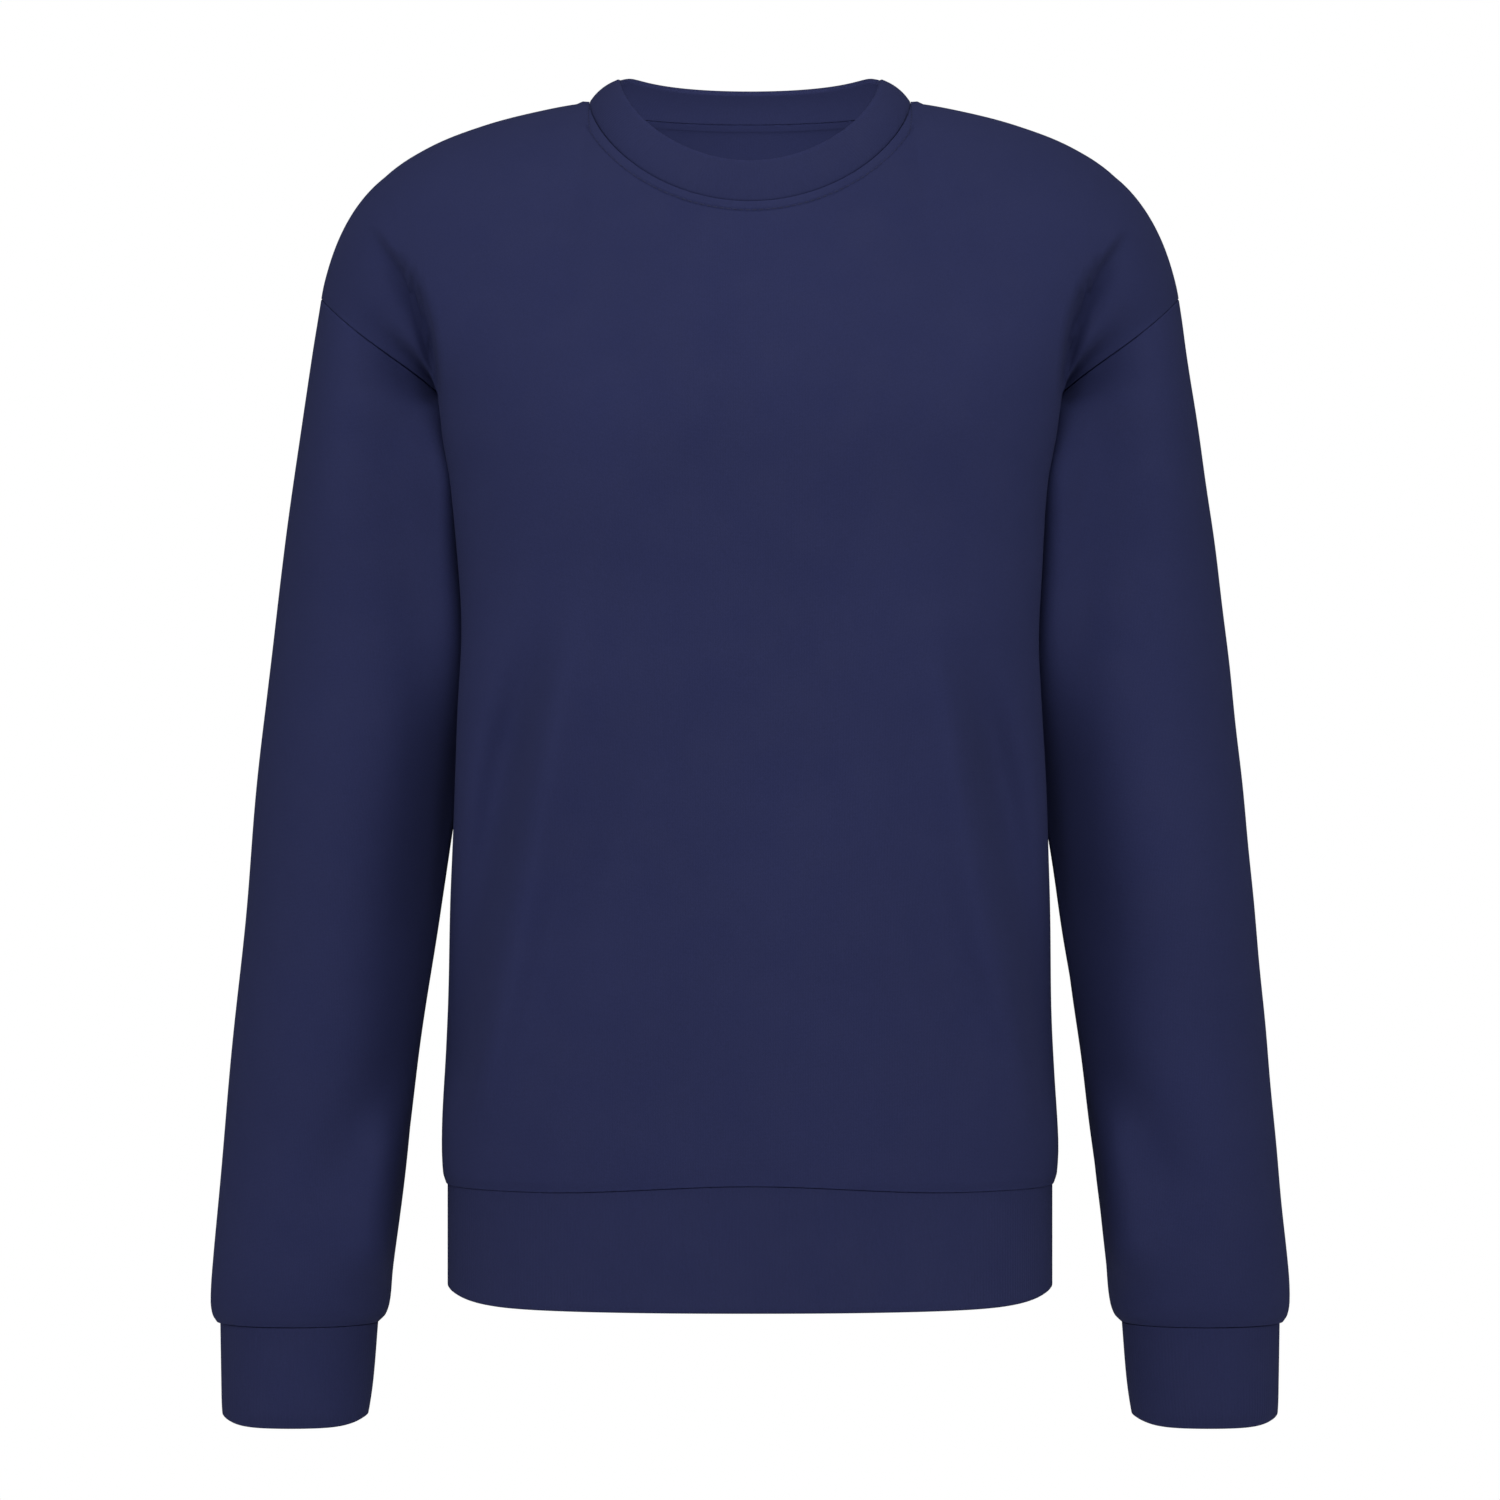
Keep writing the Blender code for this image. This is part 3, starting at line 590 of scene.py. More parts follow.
# A broad rise across the chest draws its cloth flat. Below it a ridge between two troughs runs down
# towards each side of the hem: (rise, left, right, rises, falls) on both sides, along lines that
# aren't quite mirrored.
HEM_RIDGE = (+0.0075, 0.012, 0.012, 0.3, 0.15)
OUTER_TROUGH = (-0.015, 0.013, 0.013, 0.3, 0.15)
INNER_TROUGH = (-0.0036, 0.014, 0.014, 0.35, 0.35)
CHEST_LINE = ((0.172, -0.14), (0.14, -0.166), (0.095, -0.192), (0.045, -0.199), (0.0, -0.2),
              (-0.045, -0.199), (-0.095, -0.192), (-0.14, -0.166), (-0.172, -0.14))
FRONT_CREASES = (
    Crease(+0.0055, 0.2, 0.075, 0.25, 0.25, CHEST_LINE),
    Crease(+0.0026, 0.06, 0.035, 0.15, 0.15, CHEST_LINE),
    Crease(*HEM_RIDGE, (
        (0.0945, -0.27), (0.0974, -0.303), (0.1083, -0.357), (0.1168, -0.408), (0.13, -0.468),
        (0.1443, -0.515), (0.1588, -0.565), (0.1655, -0.6))),
    Crease(*OUTER_TROUGH, (
        (0.114, -0.295), (0.124, -0.33), (0.133, -0.362), (0.1455, -0.426), (0.156, -0.474),
        (0.164, -0.534), (0.168, -0.59))),
    Crease(*INNER_TROUGH, (
        (0.064, -0.33), (0.0785, -0.376), (0.092, -0.43), (0.1055, -0.473), (0.132, -0.566))),
    Crease(*HEM_RIDGE, (
        (-0.092, -0.262), (-0.0947, -0.289), (-0.1045, -0.341), (-0.1126, -0.384), (-0.1234, -0.446),
        (-0.133, -0.493), (-0.147, -0.545), (-0.1605, -0.592))),
    Crease(*OUTER_TROUGH, (
        (-0.1115, -0.285), (-0.119, -0.315), (-0.1308, -0.357), (-0.1445, -0.426), (-0.155, -0.474),
        (-0.163, -0.532), (-0.168, -0.575))),
    Crease(*INNER_TROUGH, (
        (-0.0649, -0.322), (-0.0785, -0.376), (-0.092, -0.43), (-0.1055, -0.473), (-0.134, -0.572))),
)
BACK_CREASES = both_sides(
    Crease(+0.004, 0.015, 0.015, 0.35, 0.35, (
        (0.102, -0.235), (0.108, -0.33), (0.119, -0.42), (0.134, -0.5), (0.15, -0.59))),
    Crease(-0.003, 0.015, 0.015, 0.35, 0.35, (
        (0.076, -0.29), (0.083, -0.37), (0.094, -0.44), (0.107, -0.52), (0.122, -0.595))),
)
SIDE_FADE = 0.030  # depth over which creases come up from the plane of the side seams
ARMHOLE_FADE = 0.016  # distance over which a piece's own creases come up from the armhole


def smooth_line(places):
    """A smooth line through a few places."""
    places = np.array(places, float)
    along = lengths_along(places)
    at = np.linspace(0.0, along[-1], LINE_POINTS)
    return np.stack([curve(along, values, at) for values in places.T], axis=-1)


def crease_rise(creases, places):
    """How far creases lift the cloth, at an array of places."""
    total = np.zeros(places.shape[:-1])
    for crease in creases:
        line = smooth_line(crease.line)
        steps = np.diff(line, axis=0)
        nearest, along = nearest_on(line, places)
        i = np.minimum(along.astype(int), len(steps) - 1)
        offset = places - line[i]
        leftward = steps[i, 0] * offset[..., 1] - steps[i, 1] * offset[..., 0] > 0.0
        share = along / len(steps)
        fade = ease(share / crease.rises) * ease((1.0 - share) / crease.falls)
        total += crease.rise * fade * bell(nearest / np.where(leftward, crease.left, crease.right))
    return total


def worn(points, creases):
    """Points moved forwards on the front, and backwards on the back, by the same creases."""
    depth = points[..., 1]
    moved = points.copy()
    rise = crease_rise(creases, points[..., [0, 2]])
    moved[..., 1] += np.sign(depth) * ease(np.abs(depth) / SIDE_FADE) * rise
    return moved


def creased(points, creases, *armholes):
    """Points with all of their piece's creases. Close to the armholes they have the arm fold alone,
    which the pieces on both sides of that seam share."""
    shared = worn(points, ARM_FOLD)
    share = ease(distance_to_lines(points, *armholes) / ARMHOLE_FADE)[..., None]
    return mix(shared, worn(points, creases), share)


def swelled(grid, normals, across, edge, seed):
    """A grid with random swells, which fade towards its seams. across is in metres."""
    rng = np.random.default_rng(seed)
    swell = np.zeros_like(across)
    for _ in range(SWELL_WAVES):
        turn, phase = rng.uniform(0.0, 2.0 * math.pi, 2)
        length = SWELL_SIZE * rng.uniform(*SWELL_RANGE)
        place = across * math.cos(turn) + grid[..., 2] * math.sin(turn)
        swell += np.sin(place / length * 2.0 * math.pi + phase)
    lift = SWELL * (swell / math.sqrt(SWELL_WAVES)) * ease(edge / SWELL_FADE)
    return grid + normals * lift[..., None]


# ------------ meshes
def link(name, data):
    """A new object in the scene."""
    thing = bpy.data.objects.new(name, data)
    bpy.context.scene.collection.objects.link(thing)
    return thing


def seam_roll(distance, radius):
    """How far cloth has turned down at some distance from its seam."""
    left = np.clip(radius - distance, 0.0, radius)
    return radius - np.sqrt(radius ** 2 - left ** 2)


def add_piece(node, points, faces, flat, wear, material):
    """The cloth of a node from points and faces, with a UV map of places on the flat cloth, in metres.
    flat has one (u, v) for each corner of each face, and wear a share from 0 to 1 for each point."""
    mesh = bpy.data.meshes.new(node)
    mesh.from_pydata(points.reshape(-1, 3).tolist(), [], faces.tolist())
    layer = mesh.uv_layers.new(name="cloth")
    layer.uv.foreach_set("vector", flat.astype(np.float32).ravel())
    rubbed = mesh.attributes.new("wear", "FLOAT", "POINT")
    rubbed.data.foreach_set("value", wear.astype(np.float32).ravel())
    mesh.shade_smooth()
    mesh.set_sharp_from_angle(angle=math.radians(SHARP_EDGE))
    mesh.materials.append(material)
    return link(node + "_cloth", mesh)


def quads(upward, across):
    """Corner indices (row, column) of a grid's quads, from how many there are each way."""
    i, j = (n.ravel() for n in np.meshgrid(np.arange(upward), np.arange(across), indexing="ij"))
    return np.stack([i, i, i + 1, i + 1], axis=1), np.stack([j, j + 1, j + 1, j], axis=1)


def shell(node, outer, inner, edge, material, wraps=False):
    """A closed wall of cloth between an outer and an inner grid of points. Rows run upwards, and
    columns run anticlockwise as seen from above. edge is each point's distance from its seams."""
    rows, columns = outer.shape[:2]
    count = rows * columns
    i, j = quads(rows - 1, columns if wraps else columns - 1)
    middle = columns // 2
    closed = np.concatenate([outer, outer[:, :1]], axis=1) if wraps else outer
    across = lengths_along(np.moveaxis(closed, 1, 0)).T
    across = across - across[:, middle:middle + 1]
    upward = lengths_along(closed)
    places = np.stack([across, upward], axis=-1)
    flat = places[i, j]
    face = i * columns + j % columns
    faces = [face, face[:, ::-1] + count]
    flats = [flat, flat[:, ::-1]]

    def rim(indices, flat_line):
        a, b = indices[:-1], indices[1:]
        faces.append(np.stack([b, a, a + count, b + count], axis=1))
        flats.append(np.stack([flat_line[1:], flat_line[:-1], flat_line[:-1], flat_line[1:]], axis=1))

    low = np.arange(closed.shape[1]) % columns
    high = (rows - 1) * columns + low
    rim(low, places[0])
    rim(high[::-1], places[-1, ::-1])
    if not wraps:
        right = np.arange(rows) * columns
        left = right + columns - 1
        rim(right[::-1], places[::-1, 0])
        rim(left, places[:, -1])
    points = np.concatenate([outer.reshape(-1, 3), inner.reshape(-1, 3)])
    wear = np.tile(bell(edge / WEAR_WIDTH).ravel(), 2)
    return add_piece(node, points, np.concatenate(faces), np.concatenate(flats), wear, material)


def ring(node, sections, material):
    """A closed ring of cloth from its cross-sections, each a closed line of points. Sections run
    anticlockwise as seen from above, and each goes up its outer side and down its inner one."""
    count, size = sections.shape[:2]
    i, j = quads(count, size)
    along = lengths_along(looped(sections)[:, size // 4])
    across = lengths_along(looped(sections[0]))
    flat = np.stack([along[i], across[j]], axis=-1)[:, ::-1]
    face = (i % count * size + j % size)[:, ::-1]
    fold_start = sections[:, (size - FOLD_STEPS + 2) // 2]
    wear = bell(distance_to_lines(sections, fold_start) / WEAR_WIDTH)
    return add_piece(node, sections, face, flat, wear, material)


def ellipsoids(name, centres, along, aside, upward, material):
    """Small ellipsoids, each with its centre and its three half axes."""
    turns = np.arange(STITCH_SIDES) / STITCH_SIDES * 2.0 * math.pi
    tilts = np.linspace(0.0, math.pi, STITCH_RINGS + 2)[1:-1]
    cos, sin = np.cos(tilts)[:, None], np.sin(tilts)[:, None]
    rings = vectors(np.repeat(cos, STITCH_SIDES, axis=1), sin * np.cos(turns), sin * np.sin(turns))
    ball = np.concatenate([[(1.0, 0.0, 0.0)], rings.reshape(-1, 3), [(-1.0, 0.0, 0.0)]])
    points = centres[:, None] + ball @ np.stack([along, aside, upward], axis=1)
    last = len(ball) - 1
    patches = []
    for k in range(STITCH_SIDES):
        after = (k + 1) % STITCH_SIDES
        patches.append((0, 1 + k, 1 + after))
        for low in range(1, last - STITCH_SIDES, STITCH_SIDES):
            high = low + STITCH_SIDES
            patches.append((low + k, high + k, high + after, low + after))
        low = last - STITCH_SIDES
        patches.append((low + k, last, low + after))
    starts = range(0, len(centres) * len(ball), len(ball))
    faces = [[start + corner for corner in patch] for start in starts for patch in patches]
    mesh = bpy.data.meshes.new(name)
    mesh.from_pydata(points.reshape(-1, 3).tolist(), [], faces)
    mesh.shade_smooth()
    mesh.materials.append(material)
    return link(name, mesh)


# ------------ the panels of the body
def between_seams(length, shares):
    """Distances along a line: the seam steps at both its ends, and shares of the rest."""
    middle = mix(SEAM_STEPS[-1], length - SEAM_STEPS[-1], shares)
    return np.concatenate([SEAM_STEPS, middle, length - SEAM_STEPS[::-1]])


def face_grid(face):
    """The smooth form of a whole face, as rows of points from the right side to the left."""
    ups = np.linspace(0.0, 2.0, SAMPLES)[:, None]
    stations = np.arange(BULGE_STATION * COLUMNS_PER_STATION + 1) / COLUMNS_PER_STATION
    wide = np.repeat(stations[None], SAMPLES, axis=0)

    fine = np.linspace(BULGE_STATION, EDGE_STATION, TUCK_SAMPLES)
    walked = lengths_along(np.moveaxis(face_point(face, fine[None], ups), 1, 0))
    from_edge = walked[-1] - walked
    tucked = []
    for k in range(SAMPLES):
        middle = np.linspace(from_edge[0, k], SEAM_STEPS[-1], TUCK_COLUMNS + 1)[1:-1]
        wanted = np.concatenate([middle, SEAM_STEPS[::-1]])
        tucked.append(np.interp(wanted, from_edge[::-1, k], fine[::-1]))
    wide = np.concatenate([wide, np.array(tucked)], axis=1)

    walked = lengths_along(face_point(face, wide, ups))
    shares = np.linspace(0.0, 1.0, FACE_ROWS + 1)[1:-1]
    crowded = shares + ROW_CROWDING * shares * (1.0 - shares)
    points = []
    for j in range(wide.shape[1]):
        up = np.interp(between_seams(walked[-1, j], crowded), walked[:, j], ups[:, 0])
        points.append(face_point(face, np.interp(up, ups[:, 0], wide[:, j]), up))
    half = np.stack(points, axis=1)
    return np.concatenate([mirrored(half[:, :0:-1]), half], axis=1)


def face_seams(grid):
    """The seam lines round a face. Its edges are its armholes and side seams."""
    middle = grid.shape[1] // 2
    neck = NECK_CELLS * COLUMNS_PER_STATION
    top = grid[-1]
    return {
        "neck": top[middle - neck:middle + neck + 1],
        "shoulders": (top[:middle - neck + 1], top[middle + neck:]),
        "edges": (grid[:, 0], grid[:, -1]),
        "hem": grid[0],
    }


def creased_face(grid, creases):
    """A face's grid with its creases. The armholes are its edges above the underarm."""
    above = grid[:, 0, 2] > UNDERARM_HEIGHT - SEAM_GAP
    return creased(grid, creases, grid[above, 0], grid[above, -1])


def face_normals(face, grid):
    """Outward normals of a face's smooth form. Up to the bulge line they follow the slope of its depth,
    and behind that the grid. A point in the plane of the side seams has its normal in that plane."""
    step = 0.0001
    x, height = np.abs(grid[..., 0]), grid[..., 2]
    slope_x = (face_depth(face, x + step, height) - face_depth(face, np.abs(x - step), height)) / (2 * step)
    slope_z = (face_depth(face, x, height) - face_depth(face, x, height - 2 * step)) / (2 * step)
    open_normals = unit(vectors(-slope_x * np.sign(grid[..., 0]), face.sign, -slope_z))
    middle = grid.shape[1] // 2
    behind = np.abs(np.arange(grid.shape[1]) - middle) > BULGE_STATION * COLUMNS_PER_STATION - 1
    normals = np.where(behind[:, None], grid_normals(grid) * -face.sign, open_normals)
    on_plane = np.abs(grid[..., 1]) < TINY
    return np.where(on_plane[..., None], unit(normals * (1.0, 0.0, 1.0)), normals)


def make_face(face, creases, seed, material, sewing):
    """A face's panel, its stitches and its seam lines."""
    smooth = face_grid(face)
    grid = creased_face(smooth, creases)
    normals = face_normals(face, smooth)
    seams = face_seams(grid)
    neck = distance_to_lines(grid, seams["neck"])
    hem = distance_to_lines(grid, seams["hem"])
    shoulder = distance_to_lines(grid, *seams["shoulders"])
    side = distance_to_lines(grid, *seams["edges"])
    edge = np.minimum.reduce([neck, hem, shoulder, side])
    body = swelled(grid, normals, grid[..., 0], edge, seed)

    strip = 1.0 - ease((neck - STRIP_WIDTH + STRIP_STEP / 2) / STRIP_STEP)
    strip *= ease(shoulder / STRIP_END)
    groove = bell((neck - STITCH_LINE) / STITCH_GROOVE)
    roll = np.maximum.reduce([seam_roll(neck, NECK_ROLL), seam_roll(hem, HEM_ROLL),
                              seam_roll(shoulder, SHOULDER_ROLL), seam_roll(side, ARMHOLE_ROLL)])
    out = strip * STRIP_RISE - groove * STITCH_SINK - roll
    outer = body + normals * out[..., None]
    inner = body - normals * (CLOTH + strip * STRIP_RISE)[..., None]
    stitches = make_stitches(face, outer, normals, neck, sewing)
    if face.sign > 0:
        outer, inner, edge = outer[:, ::-1], inner[:, ::-1], edge[:, ::-1]
    return shell(face.name, outer, inner, edge, material), stitches, seams


def make_stitches(face, outer, normals, neck, sewing):
    """The topstitching of the neckline: one row of small sunk stitches on a face's outer grid."""
    middle = outer.shape[1] // 2
    reach = NECK_CELLS * COLUMNS_PER_STATION
    columns = range(middle - reach, middle + reach + 1)
    rows = slice(-2, -STITCH_ROWS, -1)
    path = np.array([between(STITCH_LINE, neck[rows, j], outer[rows, j]) for j in columns])
    up = np.array([between(STITCH_LINE, neck[rows, j], normals[rows, j]) for j in columns])
    walked = lengths_along(path)
    starts = np.arange(STITCH_MARGIN, walked[-1] - STITCH_MARGIN, STITCH_PITCH)
    near, far = between(starts, walked, path), between(starts + STITCH_LENGTH, walked, path)
    lift = unit(between(starts + STITCH_LENGTH / 2, walked, up))
    along = (far - near) / 2
    aside = unit(np.cross(along, lift)) * THREAD
    centres = (near + far) / 2
    return ellipsoids(face.name + "_stitches", centres, along, aside, lift * THREAD, sewing)


# ------------ the sleeves
def make_sleeve(node, side, creases, seed, material):
    turns = np.arange(SLEEVE_COLUMNS) / SLEEVE_COLUMNS * 2.0
    downs = np.linspace(0.0, 2.0, SAMPLES)[:, None]
    walked = lengths_along(sleeve_point(turns[None], downs))
    shares = np.linspace(0.0, 1.0, SLEEVE_ROWS + 1)[1:-1]
    points = []
    for j, turn in enumerate(turns):
        wanted = between_seams(walked[-1, j], shares)
        points.append(sleeve_point(turn, np.interp(wanted, walked[:, j], downs[:, 0])))
    smooth = np.stack(points, axis=1)[::-1]
    grid = creased(smooth, creases, looped(smooth[-1]))
    normals = grid_normals(grid, wraps=True)
    edge = distance_to_lines(grid, looped(grid[0]), looped(grid[-1]))
    around = np.broadcast_to(turns * HALF_GIRTH, grid.shape[:2])
    body = swelled(grid, normals, around, edge, seed)
    roll = np.where(grid[..., 2] > CAP_END, seam_roll(edge, ARMHOLE_ROLL), seam_roll(edge, CUFF_ROLL))
    outer = body - normals * roll[..., None]
    inner = body - normals * CLOTH
    if side < 0:
        outer, inner, edge = mirrored(outer)[:, ::-1], mirrored(inner)[:, ::-1], edge[:, ::-1]
    return shell(node, outer, inner, edge, material, wraps=True)


# ------------ the bands
DOWN = np.array((0.0, 0.0, -1.0))


def folded(outer_line, inward, onward, radius):
    """Cross-sections of a rib band, folded over at the end of its outer line and rounded into the seam
    at its start. outer_line is an array of lines, each with its direction inward. onward is the way
    that they run, for all or for each."""
    onward = np.broadcast_to(onward, inward.shape)[:, None]
    inward = inward[:, None]
    turn = np.linspace(0.0, math.pi, FOLD_STEPS)[1:-1, None]
    middle = outer_line[:, -1:] + inward * RIB / 2
    fold = middle - inward * RIB / 2 * np.cos(turn) + onward * RIB / 2 * np.sin(turn)
    steps = np.linalg.norm(outer_line - outer_line[:, :1], axis=-1)[..., None]
    outer = outer_line + inward * seam_roll(steps, radius)
    inner = outer_line + inward * (RIB - seam_roll(steps, radius) / 2)
    return np.concatenate([outer, fold, inner[:, ::-1]], axis=1)


def band_rows(first, ends, count):
    """Rows across a band: the first ones, and others on to the end of each of its columns."""
    rest = mix(first[-1], ends, np.linspace(0.0, 1.0, count)[None, 1:])
    return np.concatenate([np.broadcast_to(first, (len(ends), len(first))), rest], axis=1)


def make_cuff(node, side, material):
    turns = np.arange(CUFF_COLUMNS) / CUFF_COLUMNS * 2.0
    inward = vectors(np.cos(turns * math.pi), np.sin(turns * math.pi), 0.0)
    bottom = CUFF_BOTTOM + CUFF_LIFT * inward[:, :1] ** CUFF_CORNER
    heights = band_rows(CUFF_TOP - SEAM_STEPS, bottom, BAND_ROWS)
    line = section_point(CUFF_SECTIONS, turns[:, None], heights)
    sections = folded(line, inward, DOWN, CUFF_ROLL)
    if side < 0:
        sections = mirrored(sections)[::-1]
    return ring(node, sections[:, ::-1], material)


def seam_loop(front_line, back_line):
    """A closed seam all round the body, from the lines of the front and the back."""
    return np.concatenate([front_line[:-1], back_line[::-1][:-1]])


def make_hem_band(front_line, back_line, material):
    loop = seam_loop(front_line, back_line)
    along = np.roll(loop, -1, axis=0) - np.roll(loop, 1, axis=0)
    inward = unit(vectors(-along[:, 1], along[:, 0], 0.0))
    start = loop + inward * HEM_INSET - (0.0, 0.0, SEAM_GAP)
    rise = HEM_BAND_LIFT * (np.abs(loop[:, 0]) / loop[:, 0].max()) ** HEM_BAND_CORNER
    bottom = vectors(start[:, 0], start[:, 1], HEM_BOTTOM + RIB / 2 + rise)
    reach = start[:, 2:] - bottom[:, 2:]
    rest = mix(BAND_START / reach, 1.0, np.linspace(0.0, 1.0, BAND_ROWS))
    shares = np.concatenate([SEAM_STEPS / reach, rest], axis=1)
    line = mix(start[:, None], bottom[:, None], shares[..., None])
    return ring("hem_band", folded(line, inward, DOWN, HEM_ROLL)[:, ::-1], material)


def evened(values, times):
    """Values round a loop, each drawn towards its neighbours a number of times."""
    for _ in range(times):
        values = (np.roll(values, 1, axis=0) + 2.0 * values + np.roll(values, -1, axis=0)) / 4.0
    return values


def make_collar(front_line, back_line, material):
    loop = seam_loop(front_line, back_line)
    tangent = unit(np.roll(loop, -1, axis=0) - np.roll(loop, 1, axis=0))
    inward = unit(vectors(-tangent[:, 1], tangent[:, 0], 0.0))
    height = read(COLLAR_SHAPE, "height", -inward[:, 1])[:, None]
    lean = np.radians(read(COLLAR_SHAPE, "lean", -inward[:, 1]))[:, None]
    along = inward * np.sin(lean) - DOWN * np.cos(lean)
    along = unit(along - tangent * np.sum(along * tangent, axis=1, keepdims=True))
    along = unit(evened(along, COLLAR_EVENING))
    height = evened(height, COLLAR_EVENING)
    across = unit(evened(np.cross(along, tangent), COLLAR_EVENING))
    reaches = band_rows(SEAM_STEPS + SEAM_GAP, height - RIB / 2, COLLAR_ROWS)[..., None]
    shares = reaches / height[:, None]
    rim = loop + along * height
    shift = (evened(rim, RIM_EVENING) - rim)[:, None] * shares ** 2
    bow = across[:, None] * COLLAR_BOW * 4.0 * shares * (1.0 - shares)
    line = loop[:, None] + along[:, None] * reaches + shift - bow
    return ring("collar", folded(line, across, along, NECK_ROLL), material)


# ------------ materials
class Nodes:
    """Builds a material's nodes, in short calls."""

    def __init__(self, name):
        self.material = bpy.data.materials.new(name)
        self.material.use_nodes = True
        self.tree = self.material.node_tree
        self.shader = self.tree.nodes["Principled BSDF"]
        self.place = self.add("ShaderNodeTexCoord").outputs["Object"]

    def add(self, kind, **settings):
        node = self.tree.nodes.new(kind)
        for setting, value in settings.items():
            setattr(node, setting, value)
        return node

    def feed(self, node, inputs):
        """Gives a node's inputs their values, or links them to other nodes' outputs."""
        for socket, value in inputs.items():
            if isinstance(value, bpy.types.NodeSocket):
                self.tree.links.new(value, node.inputs[socket])
            else:
                node.inputs[socket].default_value = value

    def math(self, operation, a, b=0.0):
        node = self.add("ShaderNodeMath", operation=operation)
        self.feed(node, {0: a, 1: b})
        return node.outputs[0]

    def times(self, a, b):
        return self.math("MULTIPLY", a, b)

    def plus(self, a, b):
        return self.math("ADD", a, b)

    def noise(self, scale, detail):
        node = self.add("ShaderNodeTexNoise")
        self.feed(node, {"Vector": self.place, "Scale": scale, "Detail": detail})
        return node.outputs["Fac"]

    def varied(self, noise):
        """A noise, with its middle spread from its low to its high."""
        node = self.add("ShaderNodeMapRange")
        low, high = NOISE_MIDDLE
        self.feed(node, {"Value": self.noise(noise.scale, noise.detail), "From Min": low,
                         "From Max": high, "To Min": noise.low, "To Max": noise.high})
        return node.outputs["Result"]

    def dye(self, colour, tone):
        """A base colour, lightened and darkened by a tone."""
        scaled = self.add("ShaderNodeVectorMath", operation="SCALE")
        self.feed(scaled, {0: colour, "Scale": tone})
        self.feed(self.shader, {"Base Color": scaled.outputs[0]})


def jersey_height(nodes, u, v):
    """Columns of small Vs, as on the face of a plain knit."""
    wale = nodes.math("FRACT", nodes.math("DIVIDE", u, WALE))
    aside = nodes.times(nodes.math("ABSOLUTE", nodes.math("SUBTRACT", wale, 0.5)), 2.0)
    turn = nodes.plus(nodes.math("DIVIDE", v, COURSE), nodes.times(aside, LOOP_SLANT))
    loops = nodes.times(nodes.math("SINE", nodes.times(turn, 2.0 * math.pi)), 0.5)
    return nodes.times(nodes.plus(loops, 0.5), nodes.math("SUBTRACT", 1.0, nodes.times(aside, aside)))


def rib_height(nodes, u, v):
    """Fine upright ribs, with Vs on them."""
    rib = nodes.math("SINE", nodes.times(u, 2.0 * math.pi / RIB_PITCH))
    return nodes.plus(nodes.times(rib, RIB_RELIEF), nodes.times(jersey_height(nodes, u, v), RIB_LOOPS))


def knit(name, colour, height, depth):
    """A knit cloth: fine loops, a dyed colour with slight clouds and fibre mottling, and a paler, rougher
    edge where the cloth is folded or seamed and rubs."""
    nodes = Nodes(name)
    worn_edge = nodes.add("ShaderNodeAttribute", attribute_name="wear").outputs["Fac"]
    rubbed = nodes.times(worn_edge, nodes.varied(RUBBING))
    mottled = nodes.times(nodes.varied(CLOUDS), nodes.varied(MOTTLE))
    nodes.dye(colour, nodes.times(mottled, nodes.plus(nodes.times(rubbed, WEAR_TONE), 1.0)))
    rough = nodes.plus(nodes.varied(PATCHES), nodes.times(rubbed, WEAR_ROUGHNESS))

    flat = nodes.add("ShaderNodeSeparateXYZ")
    nodes.feed(flat, {0: nodes.add("ShaderNodeUVMap", uv_map="cloth").outputs["UV"]})
    fluff = nodes.times(nodes.noise(FLUFF_SCALE, 1.0), FLUFF)
    loops = height(nodes, flat.outputs["X"], flat.outputs["Y"])
    bump = nodes.add("ShaderNodeBump")
    nodes.feed(bump, {"Strength": BUMP_STRENGTH, "Distance": depth, "Height": nodes.plus(loops, fluff)})
    nodes.feed(nodes.shader, {"Roughness": rough, "Normal": bump.outputs["Normal"], **KNIT_SHINE})
    return nodes.material


def thread(name, colour):
    """Twisted sewing thread."""
    nodes = Nodes(name)
    nodes.dye(colour, nodes.varied(TWIST))
    nodes.feed(nodes.shader, THREAD_SHINE)
    return nodes.material


# ------------ the studio
VIEW_ANGLE = 15.0  # degrees
CAMERA_DISTANCE = 3.2
CAMERA_DROP = 0.0012  # below the middle of the garment
WHITE = (1.0, 1.0, 1.0, 1.0)
SURROUND = 0.02  # how strongly the white surroundings light the garment
FLOOR_PAINT = {"Base Color": (0.8, 0.8, 0.8, 1.0), "Roughness": 0.7}
FLOOR_HEIGHT = -1.2
FLOOR_RADIUS = 3.0
FLOOR_SIDES = 96

# Round lights: (name, place, size, power). Those at the sides stand on both.
MIDDLE_LIGHTS = (
    ("front light", (0.0, -1.7, 0.5), 1.0, 14.4),
    ("low light", (0.0, -1.7, -0.35), 1.0, 4.6),
    ("overhead light", (0.0, -0.5, 2.8), 1.6, 37.0),
)
SIDE_LIGHTS = (
    ("side light", (2.4, -1.7, 0.5), 1.4, 16.0),
    ("far side light", (3.0, -0.3, -0.3), 1.4, 9.5),
)
NECK_LIGHT = ("neck light", (0.0, -0.055, -0.135), 0.08, 0.22)
BACK_NECK = (0.0, 0.055, -0.010)


def softbox(name, place, size, power, target, side=1):
    light = bpy.data.lights.new(name, "AREA")
    light.shape = "DISK"
    light.size = size
    light.energy = power
    lamp = link(name, light)
    lamp.location = (side * place[0], *place[1:])
    direction = Vector(target) - lamp.location
    lamp.rotation_euler = direction.to_track_quat("-Z", "Y").to_euler()


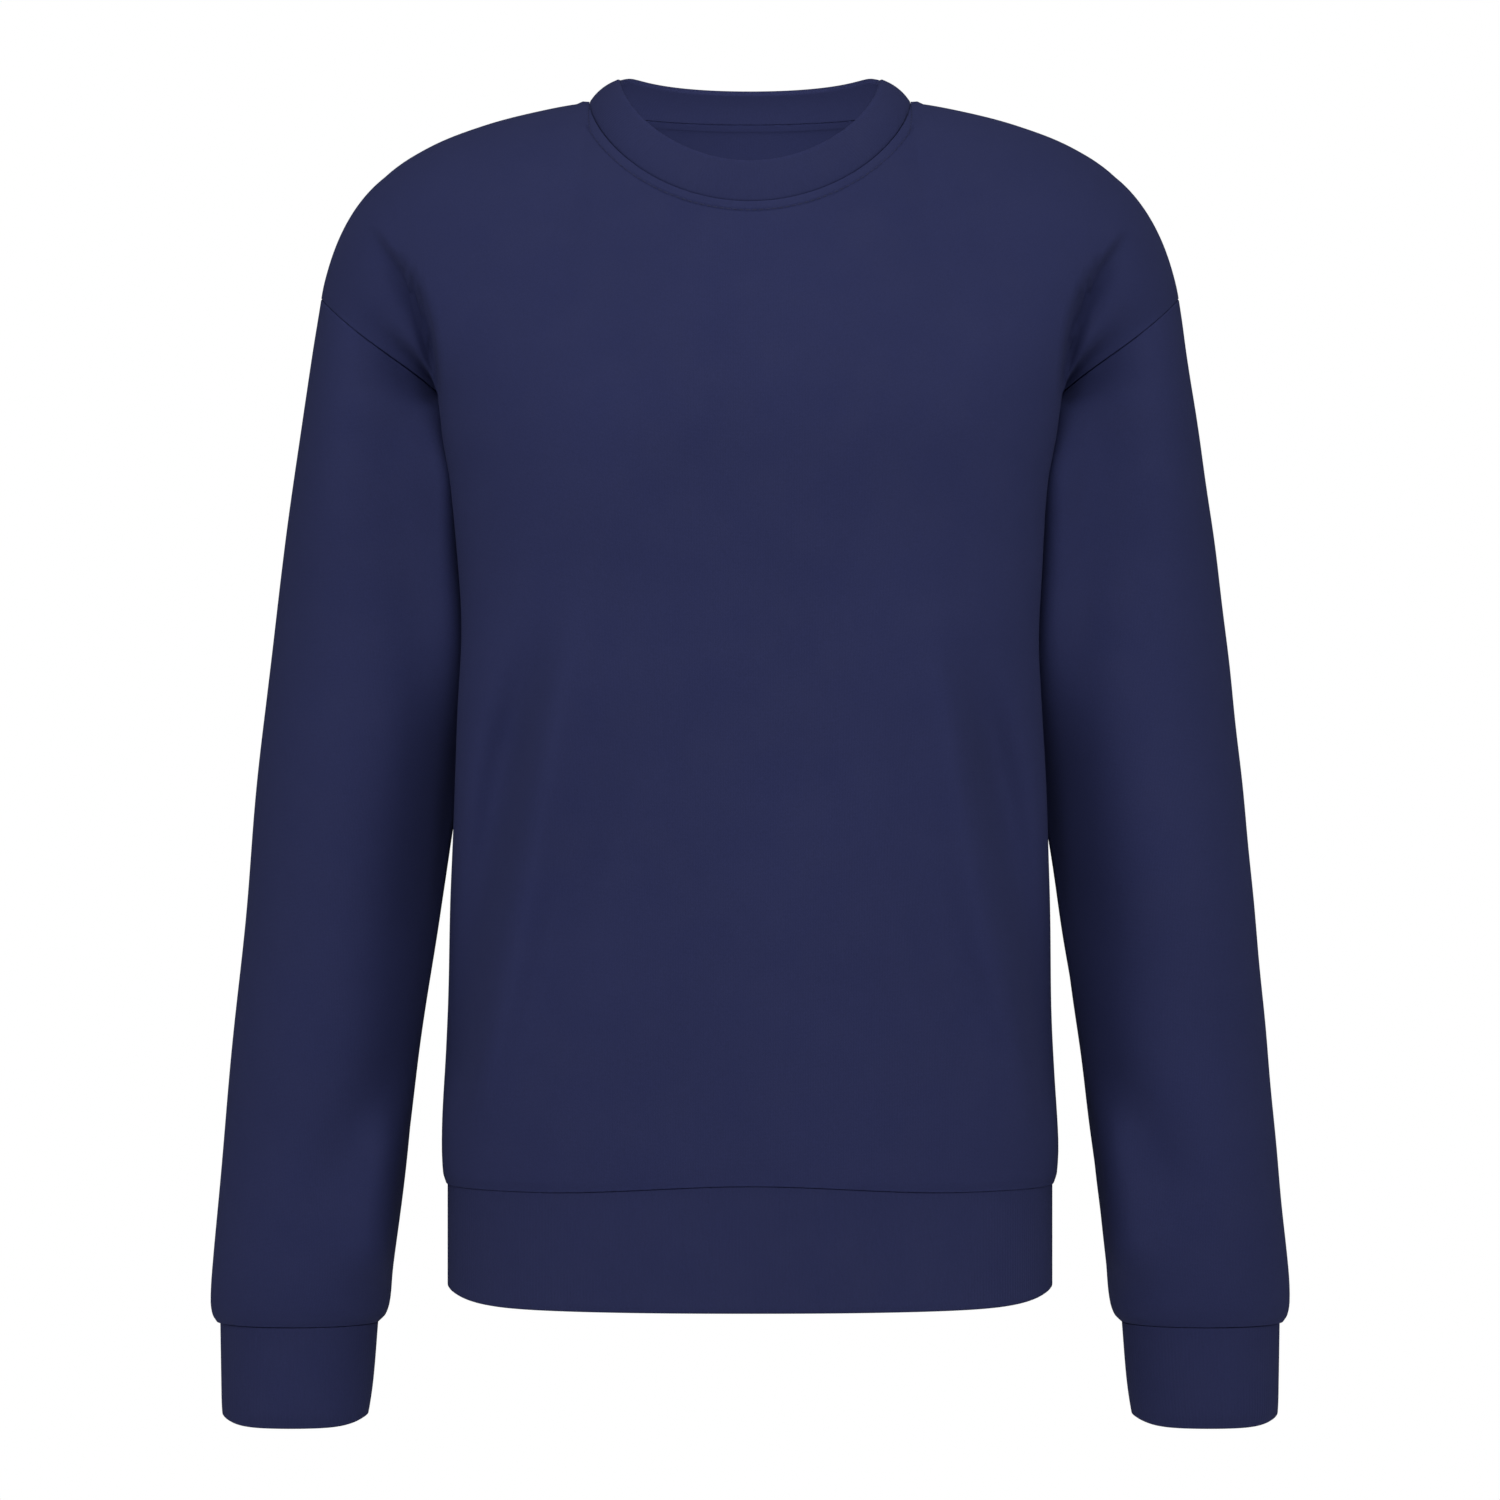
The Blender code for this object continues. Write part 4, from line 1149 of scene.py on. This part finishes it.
def make_camera(middle):
    camera = link("camera", bpy.data.cameras.new("camera"))
    camera.data.angle = math.radians(VIEW_ANGLE)
    camera.location = (0.0, -CAMERA_DISTANCE, middle - CAMERA_DROP)
    camera.rotation_euler = (math.radians(90.0), 0.0, 0.0)
    bpy.context.scene.camera = camera


def make_world():
    """White surroundings that the camera sees in full, and that light the garment only a little."""
    world = bpy.data.worlds.new("studio")
    world.use_nodes = True
    nodes, links = world.node_tree.nodes, world.node_tree.links
    seen, light = nodes["Background"], nodes.new("ShaderNodeBackground")
    for background, strength in ((seen, 1.0), (light, SURROUND)):
        background.inputs["Color"].default_value = WHITE
        background.inputs["Strength"].default_value = strength
    path = nodes.new("ShaderNodeLightPath")
    choose = nodes.new("ShaderNodeMixShader")
    links.new(path.outputs["Is Camera Ray"], choose.inputs["Fac"])
    links.new(light.outputs["Background"], choose.inputs[1])
    links.new(seen.outputs["Background"], choose.inputs[2])
    links.new(choose.outputs["Shader"], nodes["World Output"].inputs["Surface"])
    bpy.context.scene.world = world
    bpy.context.scene.view_settings.view_transform = "Standard"


def make_floor():
    mesh = bpy.data.meshes.new("floor")
    turns = np.linspace(0.0, 2.0 * math.pi, FLOOR_SIDES + 1)[:-1]
    rim = vectors(FLOOR_RADIUS * np.cos(turns), FLOOR_RADIUS * np.sin(turns), FLOOR_HEIGHT)
    mesh.from_pydata(rim.tolist(), [], [list(range(len(rim)))])
    paint = Nodes("floor paint")
    paint.feed(paint.shader, FLOOR_PAINT)
    mesh.materials.append(paint.material)
    link("floor", mesh)


def make_studio():
    low, high = CAD_BOUNDS
    middle = (low[2] + high[2]) / 2
    make_camera(middle)
    make_world()
    garment = (0.0, 0.0, middle)
    for light in MIDDLE_LIGHTS:
        softbox(*light, garment)
    for side in (-1, 1):
        for light in SIDE_LIGHTS:
            softbox(*light, garment, side)
    softbox(*NECK_LIGHT, BACK_NECK)
    make_floor()


# ------------ the garment
def main():
    make_studio()
    jersey = knit("navy jersey", NAVY, jersey_height, JERSEY_DEPTH)
    rib = knit("navy rib", RIB_NAVY, rib_height, RIB_DEPTH)
    sewing = thread("navy thread", THREAD_NAVY)
    sleeve_creases = ARM_FOLD + SLEEVE_CREASES
    front, front_stitches, front_seams = make_face(FRONT, ARM_FOLD + FRONT_CREASES, 1, jersey, sewing)
    back, back_stitches, back_seams = make_face(BACK, ARM_FOLD + BACK_CREASES, 2, jersey, sewing)
    stitches = {"front": [front_stitches], "back": [back_stitches]}
    pieces = {
        "front": front,
        "back": back,
        "sleeve_left": make_sleeve("sleeve_left", +1, sleeve_creases, 3, jersey),
        "sleeve_right": make_sleeve("sleeve_right", -1, sleeve_creases, 4, jersey),
        "cuff_left": make_cuff("cuff_left", +1, rib),
        "cuff_right": make_cuff("cuff_right", -1, rib),
        "hem_band": make_hem_band(front_seams["hem"], back_seams["hem"], rib),
        "collar": make_collar(front_seams["neck"], back_seams["neck"], rib),
    }
    for node, piece in pieces.items():
        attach(piece, "root")
        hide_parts(node)
        sewn_on = stitches.get(node, [])
        for row in sewn_on:
            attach(row, "root")


main()
